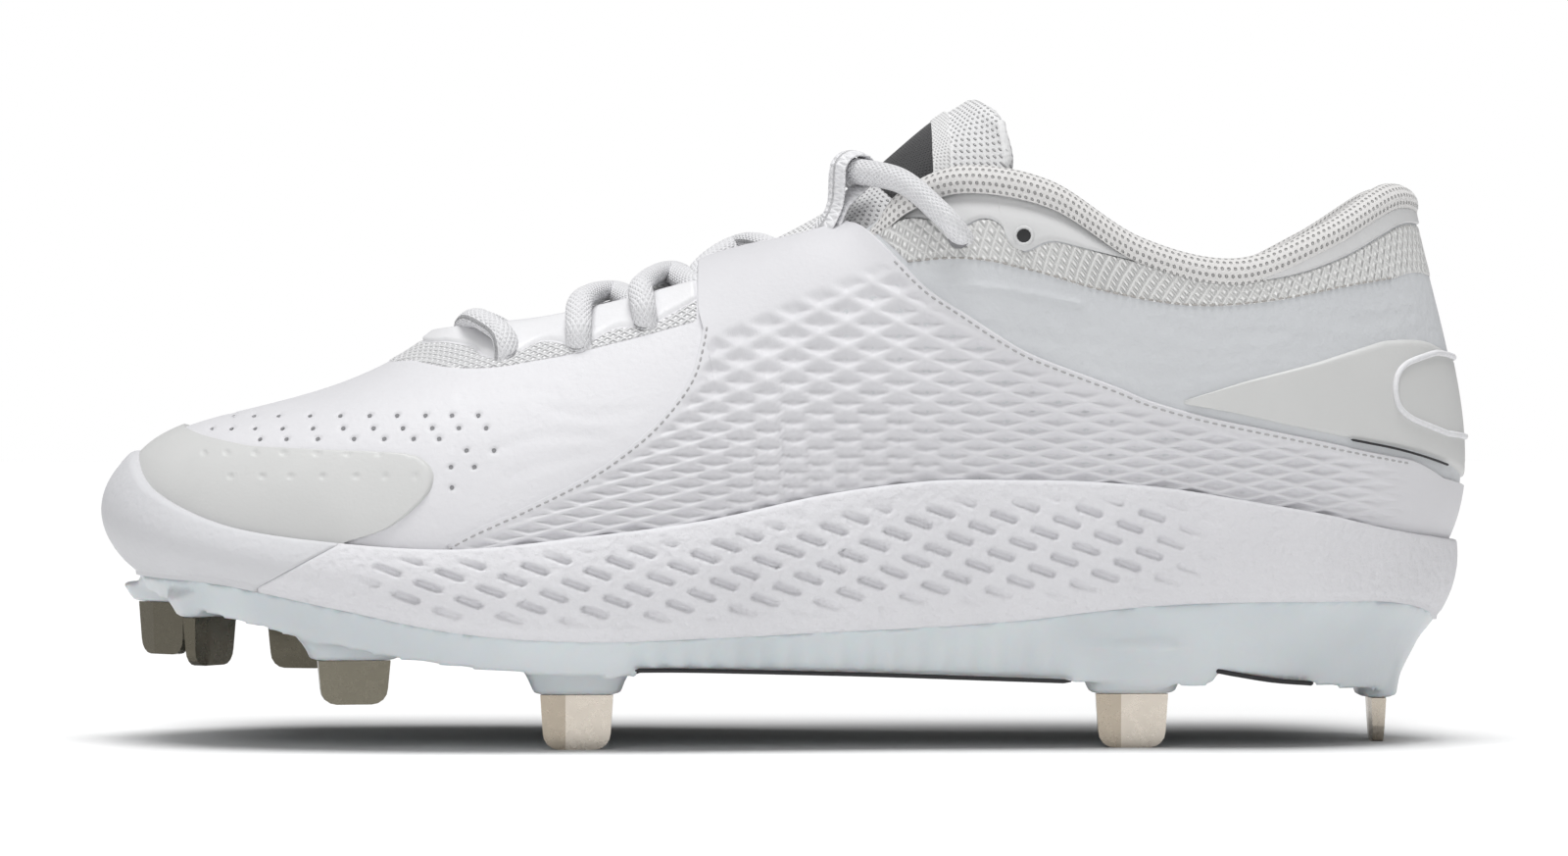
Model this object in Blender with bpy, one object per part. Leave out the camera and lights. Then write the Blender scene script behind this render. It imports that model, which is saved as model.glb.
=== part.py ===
# Low-cut softball cleat with metal spikes, left shoe, as separate named pieces.
# The toe points to -X, the outer side of the foot to -Y, the floor is Z = 0.
import bpy
import bmesh
import math
import numpy as np
from mathutils import Vector

for old in list(bpy.data.objects):
    bpy.data.objects.remove(old, do_unlink=True)

# Sizes in millimetres
MM = 0.001
UPPER_WALL = 2.2
COLLAR_PAD = 2.2
SEAT = 0.45
BED_GAP = 0.3
OVERLAY_THICK = 0.8
CUP_LIP = 2.6
SOLE_INSET = 0.2
INSOLE_THICK = 3.5
LACE_RADIUS = 2.2
TONGUE_THICK = 4.0
TONGUE_TOP_THICK = 8.0
RIB_DEPTH = 1.3
RIB_COUNT = 17
RIB_FROM = -31.0
RIB_TO = 57.0
GUARD_SEAM_LOW = (-103.0, 32.6)
GUARD_SEAM_HIGH = (-87.0, 41.0)
SPIKE_WIDTH = 14.4
SPIKE_THICK = 3.6
SPIKE_TIP_THICK = 2.6
SPIKE_RIDGE = -2.2
SPIKE_SLOPE = 0.12
SPIKE_CORNER = 3.2
POD_LONG = 8.8
POD_WIDE = 4.0

# The last and the sole, one row per section from toe tip to heel.
# base: lower edge of the upper.  top: throat and collar edge.
# low, high: how the wall leaves the base and reaches the top.
# line: top of the foam wall.  under: foam to plate.  tread: lowest side edge of the plate.
# bulge, foot: foam beyond the base half way and at the plate.  tuck: tread edge set in.
COLUMNS = ("base_x base_z outer_y inner_y top_x top_z top_half low_out low_up "
           "high_out high_drop line under tread bulge foot tuck").split()
SECTIONS = [
    (-134.0, 41.0, 5.0, 5.0, -71.0, 83.5, 0.0, 7.5, 33.0, 29.0, 23.5, 59.0, 34.6, 30.5, 5.8, -1.0, 2.4),
    (-126.0, 39.5, -16.5, 23.0, -69.8, 83.7, 4.5, 6.5, 30.0, 27.0, 22.0, 51.0, 34.3, 28.5, 5.6, 0.5, 2.6),
    (-110.0, 37.5, -31.0, 35.5, -66.5, 84.1, 8.8, 5.0, 27.0, 24.0, 19.0, 44.2, 33.2, 25.0, 5.4, 2.2, 3.0),
    (-88.0, 35.3, -40.0, 42.0, -60.0, 84.9, 11.5, 4.0, 24.0, 19.0, 14.0, 41.0, 29.0, 20.0, 5.2, 3.2, 3.6),
    (-64.0, 33.7, -43.8, 43.8, -48.0, 86.2, 14.2, 3.0, 23.0, 17.0, 11.0, 39.8, 24.3, 16.2, 5.2, 3.6, 4.2),
    (-40.0, 33.0, -43.5, 41.5, -33.0, 89.4, 16.5, 3.0, 23.0, 15.0, 9.5, 42.2, 22.5, 14.2, 5.2, 3.6, 4.4),
    (-16.0, 33.6, -40.5, 36.5, -16.0, 93.9, 18.3, 3.0, 24.0, 14.0, 9.5, 45.4, 23.1, 13.8, 5.2, 3.4, 4.4),
    (8.0, 34.8, -36.8, 31.5, 1.0, 98.5, 20.0, 3.0, 25.0, 13.0, 10.0, 50.4, 24.2, 13.7, 5.0, 3.4, 4.4),
    (30.0, 35.8, -34.0, 29.0, 15.0, 102.5, 21.5, 3.0, 25.0, 12.0, 12.0, 53.1, 25.2, 13.4, 5.0, 3.4, 4.4),
    (48.0, 36.3, -32.8, 28.4, 25.0, 111.2, 24.0, 4.0, 26.0, 9.0, 20.0, 53.3, 26.5, 12.8, 5.0, 3.4, 4.4),
    (63.0, 36.5, -32.3, 28.8, 36.0, 115.0, 27.8, 5.0, 27.0, 7.0, 26.0, 53.0, 28.3, 12.2, 5.0, 3.4, 4.4),
    (78.0, 36.6, -32.0, 29.4, 53.0, 111.7, 31.0, 5.5, 27.0, 6.0, 25.0, 51.7, 29.5, 11.9, 5.0, 3.4, 4.6),
    (92.0, 36.7, -31.3, 29.6, 71.0, 100.4, 33.0, 6.0, 26.0, 5.0, 20.0, 49.3, 29.9, 11.9, 5.0, 3.4, 5.0),
    (106.0, 36.8, -28.3, 27.6, 90.0, 96.3, 32.5, 7.0, 24.0, 5.0, 18.0, 46.6, 29.9, 11.5, 4.8, 3.5, 6.0),
    (119.0, 36.9, -21.3, 21.0, 107.6, 103.1, 27.3, 9.0, 22.0, 5.2, 22.0, 43.3, 29.7, 10.6, 4.7, 3.3, 8.0),
    (128.0, 37.0, -10.8, 10.8, 121.6, 111.4, 15.0, 12.0, 19.0, 5.6, 26.0, 41.6, 27.9, 9.6, 4.7, 2.3, 9.0),
    (132.0, 37.0, 0.0, 0.0, 127.6, 111.2, 0.0, 13.5, 18.0, 5.4, 27.0, 41.0, 25.4, 9.2, 4.8, 1.4, 9.4),
]

# Spikes: x, y, blade turn about Z in degrees, flare of the pod, seat height, tip height
SPIKES = {
    "toe_inner": (-127.0, 8.0, -46.0, 0.5, 28.0, 17.2),
    "toe_outer": (-115.5, -15.0, 60.0, 0.5, 25.7, 15.9),
    "fore_inner": (-100.9, 28.5, -20.0, 0.7, 22.6, 13.4),
    "fore_outer": (-85.3, -31.0, 10.0, 0.8, 17.6, 8.8),
    "ball_outer": (-41.0, -33.0, 0.0, 1.0, 10.9, 0.0),
    "ball_inner": (-43.4, 33.0, 0.0, 1.0, 10.9, 0.0),
    "heel_outer": (69.3, -25.5, 0.0, 1.0, 10.8, 0.0),
    "heel_inner": (72.4, 22.5, 0.0, 1.0, 10.8, 0.0),
    "heel_rear": (120.6, 0.0, 90.0, 0.5, 9.0, 0.0),
}

HALF = len(SECTIONS) - 1
TURN = 2 * HALF


def loop_rows():
    rows = []
    order = list(range(HALF + 1)) + list(range(HALF - 1, 0, -1))
    for place, index in enumerate(order):
        row = dict(zip(COLUMNS, SECTIONS[index]))
        outer = place <= HALF
        side = -1.0 if outer else 1.0
        row["base_y"] = row["outer_y"] if outer else row["inner_y"]
        row["top_y"] = side * row["top_half"]
        rows.append(row)
    return rows


ROW_KEYS = ("base_x base_y base_z top_x top_y top_z low_out low_up "
            "high_out high_drop line under tread bulge foot tuck").split()
LOOP = np.array([[row[key] for key in ROW_KEYS] for row in loop_rows()])
KEY = {key: place for place, key in enumerate(ROW_KEYS)}


def section(u):
    """All section values at place u round the shoe, 0 toe, HALF heel."""
    first = int(math.floor(u))
    f = u - first
    a, b, c, d = (LOOP[(first + step) % TURN] for step in (-1, 0, 1, 2))
    return 0.5 * (2 * b + (c - a) * f + (2 * a - 5 * b + 4 * c - d) * f * f
                  + (3 * b - a - 3 * c + d) * f ** 3)


def value(u, key):
    return float(section(u)[KEY[key]])


def outward(u):
    step = section(u + 0.02)[:2] - section(u - 0.02)[:2]
    flat = np.array([step[1], -step[0], 0.0])
    return flat / np.linalg.norm(flat)


def surface(u, t):
    """Outside of the upper: t = 0 at the lower edge, t = 1 at the top edge."""
    s = section(u)
    out = outward(u)
    base = s[0:3]
    top = s[3:6]
    low = base + out * s[KEY["low_out"]] + np.array([0, 0, s[KEY["low_up"]]])
    high = top + out * s[KEY["high_out"]] - np.array([0, 0, s[KEY["high_drop"]]])
    k = 1.0 - t
    return k ** 3 * base + 3 * k * k * t * low + 3 * k * t * t * high + t ** 3 * top


def normal(u, t):
    across = surface(u + 0.03, t) - surface(u - 0.03, t)
    upward = surface(u, t + 0.01) - surface(u, t - 0.01)
    n = np.cross(across, upward)
    return n / np.linalg.norm(n)


def ease(low, high, x):
    f = min(max((x - low) / (high - low), 0.0), 1.0)
    return f * f * (3 - 2 * f)


def wall(u, t):
    u = u % TURN
    back = ease(8.6, 9.8, u) * ease(8.6, 9.8, TURN - u)
    return UPPER_WALL + COLLAR_PAD * back * ease(0.62, 0.86, t)


def on_upper(u, t, lift):
    return surface(u, t) + normal(u, t) * lift


def inside(u, t, extra=0.0):
    return surface(u, t) - normal(u, t) * (wall(u, t) + extra)


def height_on_upper(u, z):
    low, high = 0.0, 0.7
    for _ in range(40):
        mid = 0.5 * (low + high)
        if surface(u, mid)[2] < z:
            low = mid
        else:
            high = mid
    return 0.5 * (low + high)


def side_place(x, z):
    """Place (u, t) on the outer side of the upper seen at x, z from the side."""
    best = None
    for u in np.arange(0.4, HALF - 0.2, 0.5):
        for t in np.arange(0.1, 1.1, 0.1):
            p = surface(u, t)
            miss = (p[0] - x) ** 2 + (p[2] - z) ** 2
            if best is None or miss < best[0]:
                best = (miss, u, t)
    u, t = best[1], best[2]
    for _ in range(25):
        p = surface(u, t)
        du = (surface(u + 0.01, t) - p) / 0.01
        dt = (surface(u, t + 0.005) - p) / 0.005
        grid = np.array([[du[0], dt[0]], [du[2], dt[2]]])
        miss = np.array([x - p[0], z - p[2]])
        move = np.linalg.lstsq(grid, miss, rcond=None)[0]
        u += float(np.clip(move[0], -0.4, 0.4))
        t += float(np.clip(move[1], -0.1, 0.1))
        u = min(max(u, 0.05), HALF - 0.02)
        t = min(max(t, 0.0), 1.2)
    return u, t


# Mesh helpers
def material(name, color, rough, metal=0.0):
    mat = bpy.data.materials.new(name)
    mat.use_nodes = True
    shader = mat.node_tree.nodes["Principled BSDF"]
    shader.inputs["Base Color"].default_value = (*color, 1.0)
    shader.inputs["Roughness"].default_value = rough
    shader.inputs["Metallic"].default_value = metal
    return mat


LEATHER = material("leather", (0.86, 0.86, 0.88), 0.5)
QUILT = material("quilt", (0.88, 0.88, 0.9), 0.5)
FILM = material("film", (0.8, 0.81, 0.82), 0.45)
FOAM = material("foam", (0.87, 0.87, 0.9), 0.6)
GUARD = material("guard", (0.86, 0.86, 0.89), 0.5)
PLATE = material("plate", (0.66, 0.71, 0.74), 0.35)
METAL = material("nickel", (0.58, 0.54, 0.48), 0.3, 1.0)
MESH = material("mesh", (0.8, 0.79, 0.78), 0.8)
LINING = material("lining", (0.75, 0.75, 0.76), 0.8)
CORD = material("cord", (0.88, 0.88, 0.9), 0.7)


def piece(name, verts, faces, mat, smooth=True):
    mesh = bpy.data.meshes.new(name)
    mesh.from_pydata([tuple(float(c) * MM for c in v) for v in verts], [], faces)
    form = bmesh.new()
    form.from_mesh(mesh)
    bmesh.ops.remove_doubles(form, verts=form.verts, dist=1e-6)
    bmesh.ops.recalc_face_normals(form, faces=form.faces)
    bmesh.ops.triangulate(form, faces=form.faces)
    form.to_mesh(mesh)
    form.free()
    for face in mesh.polygons:
        face.use_smooth = smooth
    mesh.materials.append(mat)
    item = bpy.data.objects.new(name, mesh)
    bpy.context.collection.objects.link(item)
    return item


def ring_faces(rings, count):
    faces = []
    for r in range(rings - 1):
        for c in range(count):
            d = (c + 1) % count
            faces.append((r * count + c, r * count + d, (r + 1) * count + d, (r + 1) * count + c))
    return faces


def deck(verts, faces, start, count, across, crown=None):
    """Close a ring by joining each outer column to its inner partner."""
    half = count // 2
    rows = []
    for c in range(half + 1):
        a = start + c
        b = start + (count - c) % count
        if a == b:
            rows.append([a])
            continue
        line = [a]
        for k in range(1, across):
            f = k / across
            point = np.array(verts[a]) * (1 - f) + np.array(verts[b]) * f
            if crown:
                point = point + np.array([0, 0, crown(c, f)])
            verts.append(point)
            line.append(len(verts) - 1)
        line.append(b)
        rows.append(line)
    for c in range(half):
        p, q = rows[c], rows[c + 1]
        if len(p) == 1:
            faces.extend((p[0], q[k], q[k + 1]) for k in range(len(q) - 1))
        elif len(q) == 1:
            faces.extend((p[k], q[0], p[k + 1]) for k in range(len(p) - 1))
        else:
            faces.extend((p[k], q[k], q[k + 1], p[k + 1]) for k in range(len(q) - 1))


def even_places(count):
    return [TURN * k / count for k in range(count)]


def join(target, others):
    for other in others:
        step = target.modifiers.new("join", "BOOLEAN")
        step.operation = "UNION"
        step.solver = "EXACT"
        step.object = other
        other.hide_render = True
        other.display_type = "WIRE"


# Upper: one hollow shell, open along throat and collar and underneath
UPPER_PLACES = even_places(60)
OUTER_ROWS = (0.0, 0.07, 0.15, 0.24, 0.33, 0.43, 0.54, 0.66, 0.78, 0.9, 1.0)
INNER_ROWS = (1.0, 0.9, 0.78, 0.6, 0.4, 0.2, 0.0)


def build_upper():
    verts = []
    for t in OUTER_ROWS:
        verts.extend(surface(u, t) for u in UPPER_PLACES)
    for u in UPPER_PLACES:
        rise = surface(u, 1.0) - surface(u, 0.99)
        rise = rise / np.linalg.norm(rise)
        verts.append(0.5 * (surface(u, 1.0) + inside(u, 1.0)) + rise * wall(u, 1.0) * 0.3)
    for t in INNER_ROWS:
        for u in UPPER_PLACES:
            point = inside(u, t)
            if t == 0.0:
                point[2] = value(u, "base_z")
            verts.append(point)
    count = len(UPPER_PLACES)
    rings = len(OUTER_ROWS) + 1 + len(INNER_ROWS)
    faces = ring_faces(rings, count)
    last = (rings - 1) * count
    for c in range(count):
        d = (c + 1) % count
        faces.append((last + c, last + d, d, c))
    return piece("upper", verts, faces, LEATHER)


# Sole: foam cup, toe guard and plate
def cup_side(u, f):
    """Side of the foam, f = 0 at the plate, f = 1 at the lip."""
    s = section(u)
    out = outward(u)
    base = s[0:3]
    line, under = s[KEY["line"]], s[KEY["under"]]
    low = base + out * s[KEY["foot"]]
    low[2] = under
    mid = base + out * s[KEY["bulge"]]
    mid[2] = 0.5 * (line + under)
    top = surface(u, height_on_upper(u, line)) + out * CUP_LIP
    top[2] = line
    return (low * (1 - f) * (1 - 2 * f) + mid * 4 * f * (1 - f) + top * f * (2 * f - 1))


def build_cup(name):
    places = UPPER_PLACES
    count = len(places)
    verts = []
    sides = (0.0, 0.2, 0.5, 0.8, 1.0)
    for f in sides:
        verts.extend(cup_side(u, f) for u in places)
    drops = (1.0, 0.75, 0.5, 0.25, 0.0)
    for d in drops:
        for u in places:
            t = height_on_upper(u, value(u, "line")) * d
            point = on_upper(u, t, SEAT)
            if d == 1.0:
                point[2] = value(u, "line")
            if d == 0.0:
                point[2] = value(u, "base_z") - BED_GAP
            verts.append(point)
    faces = ring_faces(len(sides) + len(drops), count)
    top = (len(sides) + len(drops) - 1) * count
    deck(verts, faces, top, count, 4)
    low_faces = []
    deck(verts, low_faces, 0, count, 4)
    faces.extend(low_faces)
    return piece(name, verts, faces, FOAM)


def seam_block(name, shift):
    """Everything in front of the slanted guard seam, moved back by shift."""
    low = np.array([GUARD_SEAM_LOW[0], 0, GUARD_SEAM_LOW[1]])
    high = np.array([GUARD_SEAM_HIGH[0], 0, GUARD_SEAM_HIGH[1]])
    along = (high - low) / np.linalg.norm(high - low)
    ahead = np.array([-along[2], 0, along[0]])
    front = low - along * 40 - ahead * shift
    rear = high + along * 60 - ahead * shift
    verts = []
    for y in (-80.0, 80.0):
        side = np.array([0, y, 0])
        verts.extend((front + side, rear + side, rear + ahead * 90 + side, front + ahead * 90 + side))
    faces = [(0, 1, 2, 3), (7, 6, 5, 4), (0, 4, 5, 1), (1, 5, 6, 2), (2, 6, 7, 3), (3, 7, 4, 0)]
    block = piece(name, verts, faces, GUARD, False)
    block.hide_render = True
    block.display_type = "WIRE"
    return block


def build_midsole_and_guard():
    midsole = build_cup("midsole")
    cut = midsole.modifiers.new("seam", "BOOLEAN")
    cut.operation = "DIFFERENCE"
    cut.solver = "EXACT"
    cut.object = seam_block("seam_behind", 0.15)
    guard = build_cup("toe_guard")
    guard.data.materials.clear()
    guard.data.materials.append(GUARD)
    keep = guard.modifiers.new("seam", "BOOLEAN")
    keep.operation = "INTERSECT"
    keep.solver = "EXACT"
    keep.object = seam_block("seam_ahead", -0.15)


def sole_places():
    """Places round the plate, closer together along the ribs of its side."""
    fine = []
    steps = 2 * RIB_COUNT
    u = 3.0
    for k in range(steps + 1):
        x = RIB_FROM + (RIB_TO - RIB_FROM) * k / steps
        while value(u, "base_x") < x:
            u += 0.01
        fine.append(u)
    front = [fine[0] * k / 12 for k in range(12)]
    rear = [fine[-1] + (HALF - fine[-1]) * (k + 1) / 10 for k in range(10)]
    outer = front + fine + rear
    inner = [TURN - u for u in reversed(outer[1:-1])]
    ribs = [(k - 12) % 2 if 12 <= k < 12 + len(fine) else 0 for k in range(len(outer))]
    return outer + inner, ribs + list(reversed(ribs[1:-1]))


def build_outsole():
    places, ribs = sole_places()
    count = len(places)
    rings = ((0.0, 0.0, 0.0), (0.24, 0.36, 0.6), (0.62, 0.7, 1.0), (1.0, 1.0, 0.3))
    verts = []
    for drop, inset, rib in rings:
        for u, mark in zip(places, ribs):
            s = section(u)
            top = s[KEY["under"]] - BED_GAP
            low = s[KEY["tread"]]
            reach = s[KEY["foot"]] - SOLE_INSET - inset * s[KEY["tuck"]] - RIB_DEPTH * rib * mark
            point = s[0:3] + outward(u) * reach
            point[2] = top + (low - top) * drop
            verts.append(point)
    for u in places:
        s = section(u)
        point = s[0:3] + outward(u) * (s[KEY["foot"]] - SOLE_INSET - s[KEY["tuck"]] - 5.3)
        point[2] = s[KEY["tread"]] + 0.55 * (s[KEY["under"]] - BED_GAP - s[KEY["tread"]])
        verts.append(point)
    faces = ring_faces(5, count)
    deck(verts, faces, 0, count, 2)
    deck(verts, faces, 4 * count, count, 3)
    plate = piece("outsole", verts, faces, PLATE)
    join(plate, [build_pod(name) for name in SPIKES])
    return plate


def turned(point, turn):
    """Turn about the vertical."""
    x, y, z = point
    b = math.radians(turn)
    return np.array([x * math.cos(b) - y * math.sin(b), x * math.sin(b) + y * math.cos(b), z])


def under_at(x):
    """Height of the foam underside at x."""
    u = 0.0
    while value(u, "base_x") < x and u < HALF:
        u += 0.05
    return value(u, "under")


def build_pod(name):
    x, y, turn, flare, seat, tip = SPIKES[name]
    here = np.array([x, y, seat])
    sides = 10
    verts = []
    room = min(under_at(x - 12), under_at(x), under_at(x + 12)) - seat - 1.6
    tall = min(room, 9.5)
    for part, grow in ((0.0, 0.0), (0.3, 1.0), (0.65, 3.0), (1.0, 6.0)):
        rise = tall * part
        long = POD_LONG + grow * flare
        wide = POD_WIDE + grow * flare * 0.8
        for k in range(sides):
            a = 2 * math.pi * k / sides
            c, s = math.cos(a), math.sin(a)
            px = long * math.copysign(abs(c) ** 0.6, c)
            py = wide * math.copysign(abs(s) ** 0.6, s)
            verts.append(here + turned((px, py, rise), turn))
    faces = ring_faces(4, sides)
    faces.append(tuple(range(sides)))
    faces.append(tuple(range(4 * sides - 1, 3 * sides - 1, -1)))
    return piece("pod_" + name, verts, faces, PLATE)


def build_spike(name):
    """Blade of two faces each side, meeting at an upright ridge a third of the way across."""
    x, y, turn, flare, seat, tip = SPIKES[name]
    tall = seat - tip - 0.1
    half = SPIKE_WIDTH / 2
    r = SPIKE_CORNER
    edge = [(SPIKE_RIDGE, 0.0), (half, 0.0)]
    for k in range(5):
        a = math.radians(22.5 * k)
        edge.append((half - 0.5 - r + r * math.cos(a), -(tall - r) - r * math.sin(a)))
    edge.append((SPIKE_RIDGE, -tall))
    middle = len(edge) - 1
    for k in range(5):
        a = math.radians(90 - 22.5 * k)
        edge.append((-half + 0.5 + r - r * math.cos(a), -(tall - r) - r * math.sin(a)))
    edge.append((-half, 0.0))
    count = len(edge)
    verts = []
    for side in (-1.0, 1.0):
        for px, pz in edge:
            thick = SPIKE_THICK + (SPIKE_TIP_THICK - SPIKE_THICK) * -pz / tall
            thick = thick - SPIKE_SLOPE * abs(px - SPIKE_RIDGE)
            verts.append(np.array([x, y, seat - 0.1]) + turned((px, side * thick / 2, pz), turn))
    front = list(range(middle + 1))
    rear = list(range(middle, count)) + [0]
    faces = [tuple(front), tuple(rear)]
    faces.append(tuple(count + k for k in reversed(front)))
    faces.append(tuple(count + k for k in reversed(rear)))
    for k in range(count):
        m = (k + 1) % count
        faces.append((k, m, count + m, count + k))
    return piece("spike_" + name, verts, faces, METAL, False)


# Insole: lies on the foam bed inside the upper
def build_insole():
    places = UPPER_PLACES
    count = len(places)
    verts = []
    for rise in (0.0, INSOLE_THICK):
        for u in places:
            z = value(u, "base_z") + rise
            t = height_on_upper(u, z)
            point = inside(u, t, 0.9)
            point[2] = z
            verts.append(point)
    faces = ring_faces(2, count)
    deck(verts, faces, 0, count, 3)
    deck(verts, faces, count, count, 4)
    return piece("insole", verts, faces, LINING)


# Overlays: patches cut between two lifted copies of the upper's own surface
def follow(rows, f):
    """Point at fraction f along a chain of (u, t) rows, by chain length."""
    points = [surface(u, t) for u, t in rows]
    steps = [np.linalg.norm(b - a) for a, b in zip(points, points[1:])]
    want = f * sum(steps)
    for k, step in enumerate(steps):
        if want <= step or k == len(steps) - 1:
            g = min(want / step, 1.0)
            a, b = np.array(rows[k]), np.array(rows[k + 1])
            return a * (1 - g) + b * g
        want -= step
    return np.array(rows[-1])


def build_patch(name, low, high, columns, rows, mat, thick=OVERLAY_THICK, mirror=False):
    verts = []
    for lift in (SEAT, SEAT + thick):
        for r in range(rows + 1):
            for c in range(columns + 1):
                f = c / columns
                place = follow(low, f) * (1 - r / rows) + follow(high, f) * (r / rows)
                u = TURN - place[0] if mirror else place[0]
                verts.append(on_upper(u, place[1], lift))
    wide = columns + 1
    layer = wide * (rows + 1)
    faces = []
    for r in range(rows):
        for c in range(columns):
            a = r * wide + c
            faces.append((a, a + wide, a + wide + 1, a + 1))
            faces.append((layer + a, layer + a + 1, layer + a + wide + 1, layer + a + wide))
    rim = list(range(wide)) + [r * wide + columns for r in range(1, rows + 1)]
    rim += [rows * wide + c for c in range(columns - 1, -1, -1)] + [r * wide for r in range(rows - 1, 0, -1)]
    for k, a in enumerate(rim):
        b = rim[(k + 1) % len(rim)]
        faces.append((a, b, layer + b, layer + a))
    return piece(name, verts, faces, mat)


def rim_line(places, rise):
    return [(u, height_on_upper(u, value(u, "line") + rise)) for u in places]


# Seen from the outer side, x and z of each edge
SADDLE_TOP = [(-64.5, 41.6), (-51.3, 47.7), (-38.6, 54.1), (-28.8, 61.0), (-22.8, 66.9), (-18.4, 73.3),
              (-16.5, 79.7), (-15.7, 84.7), (-16.9, 86.6), (-17.1, 92.0), (-17.2, 96.6),
              (-10.9, 98.9), (-3.4, 100.3), (2.5, 103.8), (10.5, 106.9),
              (16.4, 103.6), (23.0, 97.1), (29.0, 91.0), (36.2, 86.2), (44.4, 80.6), (50.7, 77.3),
              (66.0, 71.5), (71.9, 69.0), (82.7, 66.0), (93.6, 63.7), (104.6, 61.4), (115.4, 59.0)]
COUNTER_TOP = [(79.0, 69.5), (91.0, 72.8), (105.0, 76.4), (119.0, 80.8)]
COUNTER_LOW = [(79.2, 68.2), (88.8, 66.5), (99.8, 63.9), (110.8, 61.6)]
TOE_CAP_EDGE = [(-88.5, 42.3), (-82.8, 43.2), (-78.0, 45.4), (-73.0, 49.0), (-69.8, 52.5), (-69.4, 55.8),
                (-71.6, 58.2), (-75.4, 59.2), (-90.0, 59.6), (-104.0, 60.2)]


def build_overlays():
    saddle_top = [side_place(x, z) for x, z in SADDLE_TOP]
    saddle_top += [(14.9, 0.255), (15.97, 0.235)]
    first = saddle_top[0][0]
    low = rim_line([first + 0.06 + (15.97 - first - 0.06) * k / 24 for k in range(25)], 0.8)
    for name, mirror in (("saddle_outer", False), ("saddle_inner", True)):
        build_patch(name, low, saddle_top, 36, 7, QUILT, mirror=mirror)
    top = [side_place(x, z) for x, z in COUNTER_TOP] + [(15.2, 0.56), (HALF, 0.575)]
    low = [side_place(x, z) for x, z in COUNTER_LOW] + [(14.9, 0.275), (HALF, 0.262)]
    top += [(TURN - u, t) for u, t in reversed(top[:-1])]
    low += [(TURN - u, t) for u, t in reversed(low[:-1])]
    build_patch("heel_counter", low, top, 28, 4, FILM)
    edge = [side_place(x, z) for x, z in TOE_CAP_EDGE] + [(0.5, 0.43), (0.0, 0.42)]
    start = edge[0][0]
    low = rim_line([start - (start * k / 14) for k in range(15)], 0.6)
    edge += [(-u, t) for u, t in reversed(edge[:-1])]
    low += [(-u, t) for u, t in reversed(low[:-1])]
    build_patch("toe_cap", low, edge, 36, 4, FILM)


# Tongue: follows the inside of the throat, then stands free above it
# Rows in the throat: place u, ridge x, ridge z
TONGUE_THROAT = [(1.7, -75.5, 77.0), (2.6, -69.0, 80.6), (3.4, -60.0, 83.6), (4.2, -47.0, 86.6),
                 (5.0, -34.0, 90.0), (5.8, -20.5, 94.6), (6.6, -7.5, 99.6), (7.4, 4.0, 105.2)]
# Free rows: ridge x, ridge z, half width, edge set back, edge drop
TONGUE_FREE = [(13.0, 110.8, 19.3, 7.5, 10.2), (21.0, 118.0, 20.3, 14.0, 11.6),
               (30.0, 125.6, 20.0, 15.5, 9.5), (37.4, 130.4, 17.5, 9.0, 6.5)]
TONGUE_EDGES = (0.88, 0.94, 1.0)
TONGUE_ACROSS = 12


def smooth_chain(points, count):
    """Evenly counted points on a smooth curve through the given ones."""
    pts = [np.array(p, float) for p in points]
    pts = [2 * pts[0] - pts[1]] + pts + [2 * pts[-1] - pts[-2]]
    result = []
    for k in range(count + 1):
        place = (len(pts) - 3) * k / count
        i = min(int(place), len(pts) - 4)
        f = place - i
        a, b, c, d = pts[i:i + 4]
        result.append(0.5 * (2 * b + (c - a) * f + (2 * a - 5 * b + 4 * c - d) * f * f
                             + (3 * b - a - 3 * c + d) * f ** 3))
    return result


def tongue_lines():
    lines = []
    for u, x, z in TONGUE_THROAT:
        outer = [inside(u, t, 1.0) for t in TONGUE_EDGES]
        inner = [inside(TURN - u, t, 1.0) for t in reversed(TONGUE_EDGES)]
        lines.append(smooth_chain(outer + [(x, 0.0, z)] + inner, TONGUE_ACROSS))
    for x, z, half, back, drop in TONGUE_FREE:
        line = []
        for f in (-1.0, -0.78, -0.54, 0.0, 0.54, 0.78, 1.0):
            line.append((x + back * f * f, half * f, z - drop * f * f))
        lines.append(smooth_chain(line, TONGUE_ACROSS))
    return np.array(lines)


TONGUE = tongue_lines()


def tongue_normal(r, c):
    rows, cols = TONGUE.shape[:2]
    along = TONGUE[min(r + 1, rows - 1), c] - TONGUE[max(r - 1, 0), c]
    across = TONGUE[r, min(c + 1, cols - 1)] - TONGUE[r, max(c - 1, 0)]
    n = np.cross(along, across)
    return n / np.linalg.norm(n)


def slab(name, outer, inner, mat):
    """Close the space between two equal grids of points."""
    rows, cols = len(outer), len(outer[0])
    verts = [p for line in outer for p in line] + [p for line in inner for p in line]
    layer = rows * cols
    faces = []
    for r in range(rows - 1):
        for c in range(cols - 1):
            a = r * cols + c
            faces.append((a, a + 1, a + cols + 1, a + cols))
            faces.append((layer + a, layer + a + cols, layer + a + cols + 1, layer + a + 1))
    rim = list(range(cols)) + [r * cols + cols - 1 for r in range(1, rows)]
    rim += [(rows - 1) * cols + c for c in range(cols - 2, -1, -1)] + [r * cols for r in range(rows - 2, 0, -1)]
    for k, a in enumerate(rim):
        b = rim[(k + 1) % len(rim)]
        faces.append((a, b, layer + b, layer + a))
    return piece(name, verts, faces, mat)


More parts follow.
